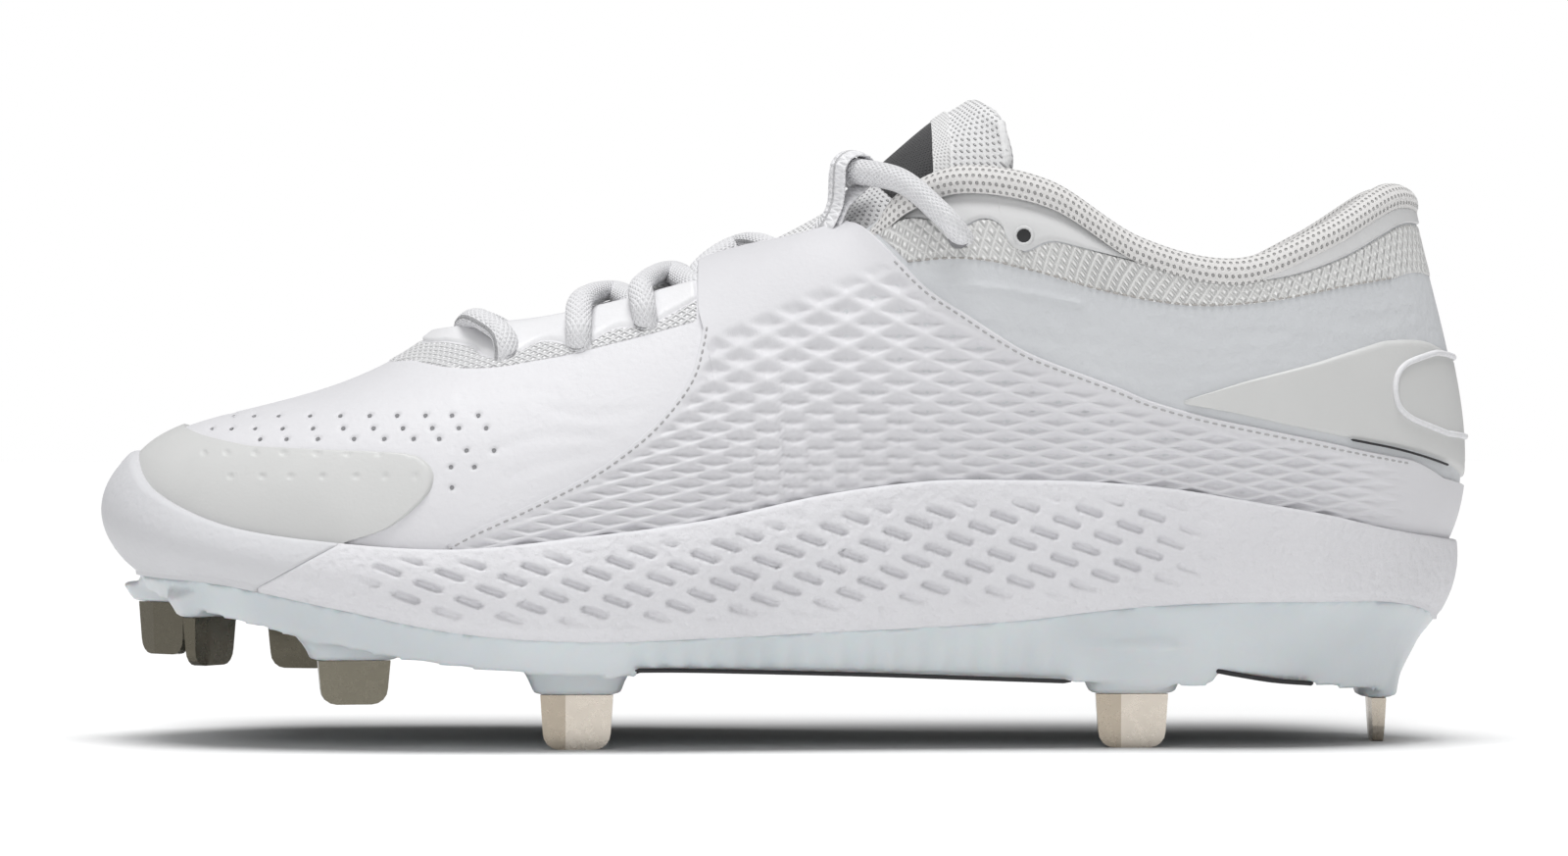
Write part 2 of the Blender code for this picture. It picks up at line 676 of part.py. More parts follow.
def build_tongue():
    rows, cols = TONGUE.shape[:2]
    below = []
    for r in range(rows):
        line = []
        for c in range(cols):
            edge = abs(2 * c / (cols - 1) - 1)
            thick = TONGUE_THICK + (TONGUE_TOP_THICK - TONGUE_THICK) * ease(7.0, 10.0, r)
            thick = thick * (1 - 0.55 * ease(0.6, 1.0, edge)) * (1 - 0.4 * ease(rows - 2.0, rows - 1.0, r))
            line.append(TONGUE[r, c] - tongue_normal(r, c) * thick)
        below.append(line)
    return slab("tongue", list(TONGUE), below, MESH)


# Laces: crossings over the tongue, clear of it and of the upper
EYELETS = [(-54.8, 79.3), (-40.5, 81.1), (-27.4, 85.4), (-12.6, 92.2)]
TOP_EYELET = (34.7, 103.0)


def over_tongue(x, f, lift):
    """Point above the tongue at ridge x, f from -1 (outer edge) to 1."""
    rows, cols = TONGUE.shape[:2]
    ridge = TONGUE[:, cols // 2, 0]
    r = int(np.clip(np.searchsorted(ridge, x) - 1, 0, rows - 2))
    g = (x - ridge[r]) / (ridge[r + 1] - ridge[r])
    place = (f + 1) / 2 * (cols - 1)
    c = min(int(place), cols - 2)
    h = place - c
    top = TONGUE[r] * (1 - g) + TONGUE[r + 1] * g
    return top[c] * (1 - h) + top[c + 1] * h + tongue_normal(r, round(place)) * lift


def tube(name, path, radius, steps, sides=6):
    line = smooth_chain(path, steps)
    verts = []
    for k, p in enumerate(line):
        ahead = line[min(k + 1, steps)] - line[max(k - 1, 0)]
        ahead = ahead / np.linalg.norm(ahead)
        side = np.cross(ahead, (0.0, 0.0, 1.0))
        if np.linalg.norm(side) < 1e-6:
            side = np.array([0.0, 1.0, 0.0])
        side = side / np.linalg.norm(side)
        rise = np.cross(side, ahead)
        for m in range(sides):
            a = 2 * math.pi * (m + 0.5) / sides
            verts.append(p + (side * math.cos(a) + rise * math.sin(a)) * radius)
    faces = ring_faces(steps + 1, sides)
    faces.append(tuple(range(sides)))
    faces.append(tuple(range((steps + 1) * sides - 1, steps * sides - 1, -1)))
    return piece(name, verts, faces, CORD)


def flip(point):
    return np.array([point[0], -point[1], point[2]])


def build_laces():
    clear = LACE_RADIUS + 0.6
    places = [side_place(x, z) for x, z in EYELETS]
    u, t = places[0]
    start = [on_upper(u, t, clear), on_upper(u, 1.0, clear + 0.3)]
    middle = over_tongue(-62.0, 0.0, clear + 0.6)
    tube("lace_bar", start + [middle] + [flip(p) for p in reversed(start)], LACE_RADIUS, 10)
    for k in (1, 2, 3):
        u, t = places[k]
        reach = surface(places[k][0], 1.0)[0] + 7.5
        start = [on_upper(u, t, clear), on_upper(u, 1.0, clear + 0.3)]
        end = over_tongue(reach, 0.3, clear + 0.3)
        if k == 3:
            start = [over_tongue(reach - 12.0, -0.17, clear + 0.4)]
            end = over_tongue(reach + 1.0, 0.17, clear + 0.4)
        path = start + [over_tongue(reach - 3.6, 0.0, clear + 0.8), end]
        first = tube("lace_cross_%d" % k, path, LACE_RADIUS, 9)
        second = tube("lace_under_%d" % k, [flip(p) for p in path], LACE_RADIUS * 0.98, 9)
        join(first, [second])
    tube("lace_top", top_lace(), LACE_RADIUS, 14)


def top_lace():
    """Top strand, from eyelet to eyelet through both webbing loops."""
    clear = LACE_RADIUS + 0.6
    u, t = side_place(*TOP_EYELET)
    start = [on_upper(u, t, clear), on_upper(u - 0.45, 0.93, clear + 1.0)]
    start.append(surface(8.85, 1.0) + np.array([0.0, 0.0, clear + 1.4]))
    start.append(np.array(LOOP_HOLD))
    middle = over_tongue(15.0, 0.0, clear + 2.4)
    return start + [middle] + [flip(p) for p in reversed(start)]


# Webbing loops: from the strap's top edge up round the lace
LOOP_HOLD = (14.0, -14.4, 115.4)
LOOP_FOOT = (10.8, 106.4)
LOOP_HALF_WIDE = 2.6
LOOP_THICK = 0.9
LOOP_BORE = LACE_RADIUS + 0.8


def build_loops():
    hold = np.array(LOOP_HOLD)
    u, t = side_place(*LOOP_FOOT)
    foot = on_upper(u, t, SEAT + 0.5 * OVERLAY_THICK)
    path = top_lace()
    ahead = path[2] - path[4]
    ahead = ahead / np.linalg.norm(ahead)
    up = hold - foot
    reach = np.linalg.norm(up)
    up = up - ahead * np.dot(up, ahead)
    up = up / np.linalg.norm(up)
    side = np.cross(ahead, up)
    low = reach - 2.2
    outer, bore = [], []
    for k in range(9):
        a = math.radians(-30 + 30 * k)
        outer.append((math.cos(a) * (LOOP_BORE + LOOP_THICK), math.sin(a) * (LOOP_BORE + LOOP_THICK)))
        bore.append((math.cos(a) * LOOP_BORE, math.sin(a) * LOOP_BORE))
    outer += [(-1.3, -6.0), (-1.1, -low), (1.1, -low), (1.3, -6.0)]
    bore += [(-0.6, -4.2), (-0.25, -5.2), (0.25, -5.2), (0.6, -4.2)]
    count = len(outer)
    verts = []
    for shape, depth in ((outer, -1), (outer, 1), (bore, 1), (bore, -1)):
        verts.extend(hold + side * a + up * b + ahead * depth * LOOP_HALF_WIDE for a, b in shape)
    faces = ring_faces(4, count)
    for c in range(count):
        d = (c + 1) % count
        faces.append((3 * count + c, 3 * count + d, d, c))
    piece("loop_outer", verts, faces, CORD)
    piece("loop_inner", [flip(p) for p in verts], faces, CORD)


build_upper()
build_midsole_and_guard()
build_outsole()
for spike in SPIKES:
    build_spike(spike)
build_insole()
build_overlays()
build_tongue()
build_laces()
build_loops()
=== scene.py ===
import math

import bpy
import numpy as np
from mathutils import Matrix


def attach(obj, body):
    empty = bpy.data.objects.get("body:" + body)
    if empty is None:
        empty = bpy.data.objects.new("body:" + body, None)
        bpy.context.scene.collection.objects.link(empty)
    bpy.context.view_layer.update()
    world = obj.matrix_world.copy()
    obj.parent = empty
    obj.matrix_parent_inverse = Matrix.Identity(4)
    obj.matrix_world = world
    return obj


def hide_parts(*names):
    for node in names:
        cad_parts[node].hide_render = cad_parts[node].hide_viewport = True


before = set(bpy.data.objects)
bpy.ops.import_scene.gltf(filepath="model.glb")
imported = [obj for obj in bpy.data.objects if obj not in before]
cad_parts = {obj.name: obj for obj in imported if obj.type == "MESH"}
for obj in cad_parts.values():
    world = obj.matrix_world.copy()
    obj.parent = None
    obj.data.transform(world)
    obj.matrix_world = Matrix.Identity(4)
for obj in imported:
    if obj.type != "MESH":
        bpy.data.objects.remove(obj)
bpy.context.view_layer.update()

# Sizes in millimetres, as in the solids
MM = 0.001
UPPER_WALL = 2.2
COLLAR_PAD = 2.2
CUP_LIP = 2.6
LACE_RADIUS = 2.2
GUARD_SEAM_LOW = (-103.0, 32.6)
GUARD_SEAM_HIGH = (-87.0, 41.0)
CAMERA_BACK = 1100.0
CAMERA_RISE = 63.6
FOCAL = 5500.0

# The last and the sole, one row per section from toe tip to heel
COLUMNS = ("base_x base_z outer_y inner_y top_x top_z top_half low_out low_up "
           "high_out high_drop line under tread bulge foot").split()
SECTIONS = [
    (-134.0, 41.0, 5.0, 5.0, -71.0, 83.5, 0.0, 7.5, 33.0, 29.0, 23.5, 59.0, 34.6, 30.5, 5.8, -1.0),
    (-126.0, 39.5, -16.5, 23.0, -69.8, 83.7, 4.5, 6.5, 30.0, 27.0, 22.0, 51.0, 34.3, 28.5, 5.6, 0.5),
    (-110.0, 37.5, -31.0, 35.5, -66.5, 84.1, 8.8, 5.0, 27.0, 24.0, 19.0, 44.2, 33.2, 25.0, 5.4, 2.2),
    (-88.0, 35.3, -40.0, 42.0, -60.0, 84.9, 11.5, 4.0, 24.0, 19.0, 14.0, 41.0, 29.0, 20.0, 5.2, 3.2),
    (-64.0, 33.7, -43.8, 43.8, -48.0, 86.2, 14.2, 3.0, 23.0, 17.0, 11.0, 39.8, 24.3, 16.2, 5.2, 3.6),
    (-40.0, 33.0, -43.5, 41.5, -33.0, 89.4, 16.5, 3.0, 23.0, 15.0, 9.5, 42.2, 22.5, 14.2, 5.2, 3.6),
    (-16.0, 33.6, -40.5, 36.5, -16.0, 93.9, 18.3, 3.0, 24.0, 14.0, 9.5, 45.4, 23.1, 13.8, 5.2, 3.4),
    (8.0, 34.8, -36.8, 31.5, 1.0, 98.5, 20.0, 3.0, 25.0, 13.0, 10.0, 50.4, 24.2, 13.7, 5.0, 3.4),
    (30.0, 35.8, -34.0, 29.0, 15.0, 102.5, 21.5, 3.0, 25.0, 12.0, 12.0, 53.1, 25.2, 13.4, 5.0, 3.4),
    (48.0, 36.3, -32.8, 28.4, 25.0, 111.2, 24.0, 4.0, 26.0, 9.0, 20.0, 53.3, 26.5, 12.8, 5.0, 3.4),
    (63.0, 36.5, -32.3, 28.8, 36.0, 115.0, 27.8, 5.0, 27.0, 7.0, 26.0, 53.0, 28.3, 12.2, 5.0, 3.4),
    (78.0, 36.6, -32.0, 29.4, 53.0, 111.7, 31.0, 5.5, 27.0, 6.0, 25.0, 51.7, 29.5, 11.9, 5.0, 3.4),
    (92.0, 36.7, -31.3, 29.6, 71.0, 100.4, 33.0, 6.0, 26.0, 5.0, 20.0, 49.3, 29.9, 11.9, 5.0, 3.4),
    (106.0, 36.8, -28.3, 27.6, 90.0, 96.3, 32.5, 7.0, 24.0, 5.0, 18.0, 46.6, 29.9, 11.5, 4.8, 3.5),
    (119.0, 36.9, -21.3, 21.0, 107.6, 103.1, 27.3, 9.0, 22.0, 5.2, 22.0, 43.3, 29.7, 10.6, 4.7, 3.3),
    (128.0, 37.0, -10.8, 10.8, 121.6, 111.4, 15.0, 12.0, 19.0, 5.6, 26.0, 41.6, 27.9, 9.6, 4.7, 2.3),
    (132.0, 37.0, 0.0, 0.0, 127.6, 111.2, 0.0, 13.5, 18.0, 5.4, 27.0, 41.0, 25.4, 9.2, 4.8, 1.4),
]
HALF = len(SECTIONS) - 1
TURN = 2 * HALF
ROW_KEYS = ("base_x base_y base_z top_x top_y top_z low_out low_up "
            "high_out high_drop line under tread bulge foot").split()
KEY = {key: place for place, key in enumerate(ROW_KEYS)}


def loop_rows():
    rows = []
    order = list(range(HALF + 1)) + list(range(HALF - 1, 0, -1))
    for place, index in enumerate(order):
        row = dict(zip(COLUMNS, SECTIONS[index]))
        outer = place <= HALF
        row["base_y"] = row["outer_y"] if outer else row["inner_y"]
        row["top_y"] = (-1.0 if outer else 1.0) * row["top_half"]
        rows.append([row[key] for key in ROW_KEYS])
    return np.array(rows)


LOOP = loop_rows()
UP = np.array([0.0, 0.0, 1.0])


def between(a, b, c, d, f):
    """A smooth curve from b to c, with a before and d after."""
    return 0.5 * (2 * b + (c - a) * f + (2 * a - 5 * b + 4 * c - d) * f * f
                  + (3 * b - a - 3 * c + d) * f ** 3)


def section(u):
    """All section values at places u round the shoe, 0 toe, HALF heel."""
    u = np.asarray(u, float)
    first = np.floor(u).astype(int)
    f = (u - first)[..., None]
    a, b, c, d = (LOOP[(first + step) % TURN] for step in (-1, 0, 1, 2))
    return between(a, b, c, d, f)


def unit(v):
    return v / np.maximum(np.linalg.norm(v, axis=-1, keepdims=True), 1e-12)


def outward(u):
    step = section(u + 0.02)[..., :2] - section(u - 0.02)[..., :2]
    return unit(np.stack([step[..., 1], -step[..., 0], 0 * step[..., 0]], -1))


def surface(u, t):
    """Outside of the upper: t = 0 at the lower edge, t = 1 at the top edge."""
    u, t = np.broadcast_arrays(np.asarray(u, float), np.asarray(t, float))
    s = section(u)
    out = outward(u)
    base, top = s[..., 0:3], s[..., 3:6]
    low = base + out * s[..., [KEY["low_out"]]] + UP * s[..., [KEY["low_up"]]]
    high = top + out * s[..., [KEY["high_out"]]] - UP * s[..., [KEY["high_drop"]]]
    t = t[..., None]
    k = 1.0 - t
    return k ** 3 * base + 3 * k * k * t * low + 3 * k * t * t * high + t ** 3 * top


def normal(u, t):
    u, t = np.broadcast_arrays(np.asarray(u, float), np.asarray(t, float))
    across = surface(u + 0.03, t) - surface(u - 0.03, t)
    upward = surface(u, t + 0.01) - surface(u, t - 0.01)
    return unit(np.cross(across, upward))


def ease(low, high, x):
    f = np.clip((np.asarray(x, float) - low) / (high - low), 0.0, 1.0)
    return f * f * (3 - 2 * f)


def wall(u, t):
    u = np.asarray(u, float) % TURN
    back = ease(8.6, 9.8, u) * ease(8.6, 9.8, TURN - u)
    return UPPER_WALL + COLLAR_PAD * back * ease(0.62, 0.86, t)


def on_upper(u, t, lift):
    return surface(u, t) + normal(u, t) * np.asarray(lift, float)[..., None]


def inside(u, t, extra=0.0):
    return surface(u, t) - normal(u, t) * (wall(u, t) + extra)[..., None]


def height_on_upper(u, z):
    u = np.asarray(u, float)
    low, high = np.zeros_like(u), np.full_like(u, 0.7)
    for _ in range(30):
        mid = 0.5 * (low + high)
        under = surface(u, mid)[..., 2] < z
        low, high = np.where(under, mid, low), np.where(under, high, mid)
    return 0.5 * (low + high)


def cup_side(u, f):
    """Side of the foam, f = 0 at the plate, f = 1 at the lip."""
    u, f = np.broadcast_arrays(np.asarray(u, float), np.asarray(f, float))
    s = section(u)
    out = outward(u)
    line, under = s[..., KEY["line"]], s[..., KEY["under"]]
    low = s[..., 0:3] + out * s[..., [KEY["foot"]]]
    low[..., 2] = under
    mid = s[..., 0:3] + out * s[..., [KEY["bulge"]]]
    mid[..., 2] = 0.5 * (line + under)
    top = surface(u, height_on_upper(u, line)) + out * CUP_LIP
    top[..., 2] = line
    f = f[..., None]
    return low * (1 - f) * (1 - 2 * f) + mid * 4 * f * (1 - f) + top * f * (2 * f - 1)


# Where things are seen in the picture, in its 1600 x 873 pixels
def seen(p):
    far = p[..., 1] + CAMERA_BACK
    return np.stack([800 + FOCAL * p[..., 0] / far, 436.5 - FOCAL * (p[..., 2] - CAMERA_RISE) / far], -1)


def fold(u):
    """The same place on the outer side of the shoe."""
    u = np.asarray(u, float) % TURN
    return np.where(u > HALF, TURN - u, u)


def side_view(u, t):
    return seen(surface(fold(u), t))


GUESS_U, GUESS_T = np.meshgrid(np.linspace(0.05, HALF - 0.05, 240), np.linspace(0.02, 1.16, 90),
                               indexing="ij")
GUESS_SEEN = seen(surface(GUESS_U, GUESS_T))


def place(points):
    """Places (u, t) on the outer side of the upper seen at these pixels."""
    points = np.asarray(points, float).reshape(-1, 2)
    rows = []
    for p in points:
        miss = ((GUESS_SEEN - p) ** 2).sum(-1)
        best = np.unravel_index(miss.argmin(), miss.shape)
        rows.append((GUESS_U[best], GUESS_T[best]))
    ut = np.array(rows)
    for _ in range(15):
        u, t = ut[:, 0], ut[:, 1]
        now = seen(surface(u, t))
        du = (seen(surface(u + 0.01, t)) - now) / 0.01
        dt = (seen(surface(u, t + 0.004)) - now) / 0.004
        grid = np.stack([du, dt], -1)
        flat = np.swapaxes(grid, 1, 2)
        step = np.linalg.solve(flat @ grid + np.eye(2) * 4.0, flat @ (points - now)[..., None])[..., 0]
        ut = ut + np.clip(step, (-0.2, -0.05), (0.2, 0.05))
        ut[:, 0] = np.clip(ut[:, 0], 0.0, HALF)
        ut[:, 1] = np.clip(ut[:, 1], 0.0, 1.2)
    return ut


def smooth_line(points, count):
    """Evenly counted points on a smooth curve through the given ones."""
    pts = np.asarray(points, float)
    pts = np.concatenate([[2 * pts[0] - pts[1]], pts, [2 * pts[-1] - pts[-2]]])
    spot = np.linspace(0, len(pts) - 3, count)
    i = np.minimum(spot.astype(int), len(pts) - 4)
    f = (spot - i)[:, None]
    return between(pts[i], pts[i + 1], pts[i + 2], pts[i + 3], f)


def distances(points):
    """Distance of each point of a chain from its start."""
    return np.concatenate([[0], np.cumsum(np.linalg.norm(np.diff(points, axis=0), axis=1))])


def even_line(points, count):
    """The same chain with its points at even distances."""
    pts = np.asarray(points, float)
    along = distances(pts)
    spot = np.linspace(0, along[-1], count)
    return np.stack([np.interp(spot, along, pts[:, k]) for k in range(pts.shape[1])], -1)


def edge_line(points, count=160, smooth=True):
    """Places along an edge seen at these pixels, at even distances on the upper."""
    line = smooth_line(points, count) if smooth else even_line(points, count)
    return even_places(place(line), count)


def even_places(ut, count):
    """The same places at even distances on the upper."""
    along = distances(surface(ut[:, 0], ut[:, 1]))
    spot = np.linspace(0, along[-1], count)
    return np.stack([np.interp(spot, along, ut[:, k]) for k in (0, 1)], -1)


def other_side(ut):
    return np.stack([TURN - ut[..., 0], ut[..., 1]], -1)


def far_from(line, p):
    """Distance in pixels from points p to a chain of points."""
    shape = p.shape[:-1]
    p = p.reshape(-1, 2)
    best = np.full(len(p), 1e9)
    line = np.asarray(line, float)
    for a, b in zip(line, line[1:]):
        run = b - a
        f = np.clip(((p - a) @ run) / (run @ run), 0, 1)
        best = np.minimum(best, np.linalg.norm(p - a - f[:, None] * run, axis=1))
    return best.reshape(shape)


# Mesh helpers
def add_item(name, data):
    item = bpy.data.objects.new(name, data)
    bpy.context.collection.objects.link(item)
    return item


def new_piece(name, verts, faces, mat, side=None, smooth=True):
    mesh = bpy.data.meshes.new(name)
    verts = np.asarray(verts, float).reshape(-1, 3)
    faces = np.asarray(faces, int)
    mesh.vertices.add(len(verts))
    mesh.vertices.foreach_set("co", (verts * MM).ravel())
    mesh.loops.add(faces.size)
    mesh.loops.foreach_set("vertex_index", faces.ravel())
    mesh.polygons.add(len(faces))
    mesh.polygons.foreach_set("loop_start", np.arange(len(faces)) * faces.shape[1])
    mesh.update(calc_edges=True)
    mesh.validate()
    mesh.polygons.foreach_set("use_smooth", np.full(len(mesh.polygons), smooth))
    if side is not None:
        layer = mesh.attributes.new("side", "FLOAT_VECTOR", "POINT")
        side = np.asarray(side, float).reshape(-1, side.shape[-1])
        full = np.zeros((len(verts), 3))
        full[:, :side.shape[1]] = side
        layer.data.foreach_set("vector", full.ravel())
    mesh.materials.append(mat)
    item = add_item(name, mesh)
    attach(item, "root")
    return item


def grid_faces(rows, cols, wrap=False, start=0):
    r, c = np.meshgrid(np.arange(rows - 1), np.arange(cols if wrap else cols - 1), indexing="ij")
    d = (c + 1) % cols
    corners = [r * cols + c, r * cols + d, (r + 1) * cols + d, (r + 1) * cols + c]
    return (start + np.stack(corners, -1)).reshape(-1, 4)


PIXEL_MM = 0.1924
WALL_HEIGHT = 40.0
BORDER_TUCK = 0.25


def panel(name, low, high, rows, lift, mat, relief=None, tuck=BORDER_TUCK, flipped=False, pattern=None):
    """A panel laid on the upper between two edges, its border turned down to the upper."""
    low, high = np.asarray(low), np.asarray(high)
    f = np.linspace(0, 1, rows)[:, None, None]
    ut = low[None] * (1 - f) + high[None] * f
    look = side_view(ut[..., 0], ut[..., 1])
    raise_by = np.full(ut.shape[:2], lift)
    if relief is not None:
        raise_by = raise_by + relief(look)
    raise_by[[1, -2], :] -= 0.25 * lift
    raise_by[:, [1, -2]] -= 0.25 * lift
    raise_by[[0, -1], :] = -tuck
    raise_by[:, [0, -1]] = -tuck
    if flipped:
        ut = other_side(ut)[:, ::-1]
        raise_by, look = raise_by[:, ::-1], look[:, ::-1]
    verts = on_upper(ut[..., 0], ut[..., 1], raise_by)
    faces = grid_faces(*ut.shape[:2])
    side = look * PIXEL_MM
    if pattern is not None:
        side = pattern(ut, verts)
    return new_piece(name, verts, faces, mat, side)


def ring_pattern(ut, verts):
    """Distances round the shoe and up its wall, for bands on the wall."""
    spots = np.linspace(0, HALF, 200)
    along = np.interp(fold(ut[..., 0]), spots, distances(surface(spots, np.full(200, 0.88))))
    return np.stack([along, ut[..., 1] * WALL_HEIGHT], -1)


def top_pattern(ut, verts):
    """Distances along and across the shoe, for bands that face up."""
    return np.stack([verts[..., 0], 0.75 * (np.abs(verts[..., 1]) - verts[..., 2])], -1)


def cord_along(name, line, radius, mat, sides=8, flat=1.0, lean=None, taper=0.0):
    """A cord or rod that follows a line of points."""
    line = np.asarray(line, float)
    count = len(line)
    ahead = unit(np.gradient(line, axis=0))
    across = unit(np.cross(ahead, np.broadcast_to(UP if lean is None else lean, line.shape)))
    if lean is None:
        for k in range(1, count):
            across[k] = unit(across[k - 1] - ahead[k] * np.dot(across[k - 1], ahead[k]))
    rise = np.cross(across, ahead)
    a = np.linspace(0, 2 * math.pi, sides, endpoint=False)
    size = np.full(count, radius)
    if taper:
        size[[0, -1]] *= taper
    ring = (across[:, None] * np.cos(a)[None, :, None] + rise[:, None] * np.sin(a)[None, :, None] * flat)
    verts = line[:, None] + ring * size[:, None, None]
    side = np.stack(np.broadcast_arrays(distances(line)[:, None], a[None] * radius), -1)
    return new_piece(name, verts, grid_faces(count, sides, wrap=True), mat, side)


# Materials: one value in a material takes part in plain arithmetic
class Value:
    def __init__(self, tree, socket):
        self.tree = tree
        self.socket = socket

    def math(self, operation, *parts):
        node = self.tree.nodes.new("ShaderNodeMath")
        node.operation = operation
        for index, part in enumerate(parts):
            feed(self.tree, part, node.inputs[index])
        return Value(self.tree, node.outputs[0])

    def __add__(self, other):
        return self.math("ADD", self, other)

    def __radd__(self, other):
        return self.math("ADD", other, self)

    def __sub__(self, other):
        return self.math("SUBTRACT", self, other)

    def __rsub__(self, other):
        return self.math("SUBTRACT", other, self)

    def __mul__(self, other):
        return self.math("MULTIPLY", self, other)

    def __rmul__(self, other):
        return self.math("MULTIPLY", other, self)

    def __truediv__(self, other):
        return self.math("DIVIDE", self, other)

    def __rtruediv__(self, other):
        return self.math("DIVIDE", other, self)

    def sin(self):
        return self.math("SINE", self)

    def tent(self):
        """0 at whole numbers, 1 half way between."""
        return self.math("PINGPONG", self, 0.5) * 2.0

    def size(self):
        """The value without its sign."""
        return self.math("ABSOLUTE", self)

    def floor(self):
        return self.math("FLOOR", self)

    def least(self, other):
        return self.math("MINIMUM", self, other)

    def most(self, other):
        return self.math("MAXIMUM", self, other)

    def over(self, low, high):
        """0 below low, 1 above high, smooth between."""
        node = self.tree.nodes.new("ShaderNodeMapRange")
        node.interpolation_type = "SMOOTHSTEP"
        for index, part in enumerate((self, low, high, 0.0, 1.0)):
            feed(self.tree, part, node.inputs[index])
        return Value(self.tree, node.outputs[0])


def feed(tree, part, socket):
    if isinstance(part, Value):
        tree.links.new(part.socket, socket)
    else:
        socket.default_value = part


class Finish:
    """A material under construction."""

    def __init__(self, name, **constants):
        self.mat = bpy.data.materials.new(name)
        self.mat.use_nodes = True
        self.tree = self.mat.node_tree
        self.shader = self.tree.nodes["Principled BSDF"]
        for key, value in constants.items():
            self.shader.inputs[key.replace("_", " ").title().replace("Ior", "IOR")].default_value = value

    def node(self, kind, settings=None, inputs=None, out=0):
        node = self.tree.nodes.new(kind)
        for key, value in (settings or {}).items():
            setattr(node, key, value)
        for key, value in (inputs or {}).items():
            feed(self.tree, value, node.inputs[key])
        return Value(self.tree, node.outputs[out])

    def spot(self):
        return self.node("ShaderNodeTexCoord", out="Object")

    def along(self, what="Position", axis="X"):
        """Distance towards the heel, in metres, or another part of the surface's own geometry."""
        geometry = self.node("ShaderNodeNewGeometry", out=what)
        return self.node("ShaderNodeSeparateXYZ", None, {0: geometry}, out=axis)

    def facing(self):
        """How far the face looks towards the heel."""
        return self.along("True Normal")

    def side(self):
        vector = self.node("ShaderNodeAttribute", {"attribute_name": "side"}, out="Vector")
        node = self.tree.nodes.new("ShaderNodeSeparateXYZ")
        feed(self.tree, vector, node.inputs[0])
        return Value(self.tree, node.outputs[0]), Value(self.tree, node.outputs[1])

    def noise(self, scale, detail=2.0, rough=0.5):
        return self.node("ShaderNodeTexNoise", None,
                         {"Vector": self.spot(), "Scale": scale, "Detail": detail, "Roughness": rough})

    def cells(self, scale):
        return self.node("ShaderNodeTexVoronoi", {"feature": "SMOOTH_F1"},
                         {"Vector": self.spot(), "Scale": scale})

    def blend(self, factor, first, second):
        return self.node("ShaderNodeMix", {"data_type": "RGBA"},
                         {0: factor, 6: first, 7: second}, out=2)

    def color(self, value):
        feed(self.tree, value, self.shader.inputs["Base Color"])

    def rough(self, value):
        feed(self.tree, value, self.shader.inputs["Roughness"])

    def bump(self, height, depth, strength=1.0):
        got = self.node("ShaderNodeBump", None, {"Strength": strength, "Distance": depth, "Height": height})
        feed(self.tree, got, self.shader.inputs["Normal"])


def rgb(r, g, b):
    return (r, g, b, 1.0)


def leather_finish(name, light, dark, grain=700.0, depth=0.00022, rough=0.46):
    m = Finish(name, specular_ior_level=0.42)
    broad = m.noise(28.0, 3.0)
    fine = m.noise(grain * 1.6, 3.0, 0.6)
    skin = m.cells(grain)
    m.color(m.blend(broad.over(0.3, 0.7), dark, light))
    m.rough(rough + 0.12 * fine)
    m.bump(fine * 0.55 + skin * 0.45 + 0.8 * m.noise(160.0, 2.0), depth, 0.55)
    return m.mat


KNURL_PITCH = 1.5
BRAID_PITCH = 1.1
FULL_TURN = 6.2832


def knurl_finish(name, light, dark):
    m = Finish(name, specular_ior_level=0.4)
    x, y = m.side()
    a = (x * 0.66 + y * 0.8) / KNURL_PITCH
    b = (x * 0.66 - y * 0.8) / KNURL_PITCH
    bead = a.tent().least(b.tent())
    # The valleys between the beads are painted darker than the beads: painted shade in the recesses.
    pit = 1.0 - bead.over(0.0, 0.32)
    m.color(m.blend(pit, light, dark))
    m.rough(0.42 + 0.15 * m.noise(300.0))
    m.bump(bead.over(0.0, 0.8), 0.0007, 1.0)
    return m.mat


def film_finish(name, light, dark):
    m = Finish(name, specular_ior_level=0.45)
    broad = m.noise(40.0, 3.0)
    fine = m.noise(1500.0, 2.0)
    m.color(m.blend(broad.over(0.3, 0.7), dark, light))
    m.rough(0.4 + 0.1 * fine)
    m.bump(fine * 0.5 + m.noise(120.0, 2.0), 0.00016, 0.5)
    return m.mat


def foam_finish(name, light, dark, depth):
    m = Finish(name, specular_ior_level=0.35)
    pebble = m.cells(620.0)
    fine = m.noise(1500.0, 3.0, 0.6)
    broad = m.noise(30.0, 2.0)
    m.color(m.blend(broad.over(0.3, 0.7), dark, light))
    m.rough(0.52 + 0.12 * fine)
    m.bump(pebble * 0.8 + fine * 0.5 + m.noise(420.0, 2.0) * 0.6, depth, 0.8)
    return m.mat


def weave_finish(name, light, dark, pitch, depth):
    m = Finish(name, sheen_weight=0.25, specular_ior_level=0.25)
    x, y = m.side()
    row = (y / pitch).floor()
    thread = ((x / pitch + row * 0.5) * FULL_TURN).sin() * 0.5 + 0.5
    band = ((y / pitch) * FULL_TURN).sin() * 0.5 + 0.5
    # The holes are sunk by the bump and also painted darker: painted shade inside the openings.
    hole = (thread * band).over(0.4, 0.95)
    m.color(m.blend(hole, light, dark))
    m.rough(0.78 + 0.1 * m.noise(900.0))
    m.bump(0.3 * m.noise(1400.0) - hole, depth, 1.0)
    return m.mat


def lace_finish():
    m = Finish("lace", sheen_weight=0.2, specular_ior_level=0.25)
    x, y = m.side()
    a = (x * 0.8 + y) / BRAID_PITCH
    b = (x * 0.8 - y) / BRAID_PITCH
    braid = a.tent().most(b.tent())
    # The grooves of the braid are painted darker than its strands: painted shade.
    m.color(m.blend(braid.over(0.45, 0.8), rgb(0.82, 0.82, 0.84), rgb(0.90, 0.90, 0.92)))
    m.rough(0.7 + 0.12 * m.noise(1200.0))
    m.bump(braid + 0.2 * m.noise(2500.0), 0.00035, 0.9)
    return m.mat


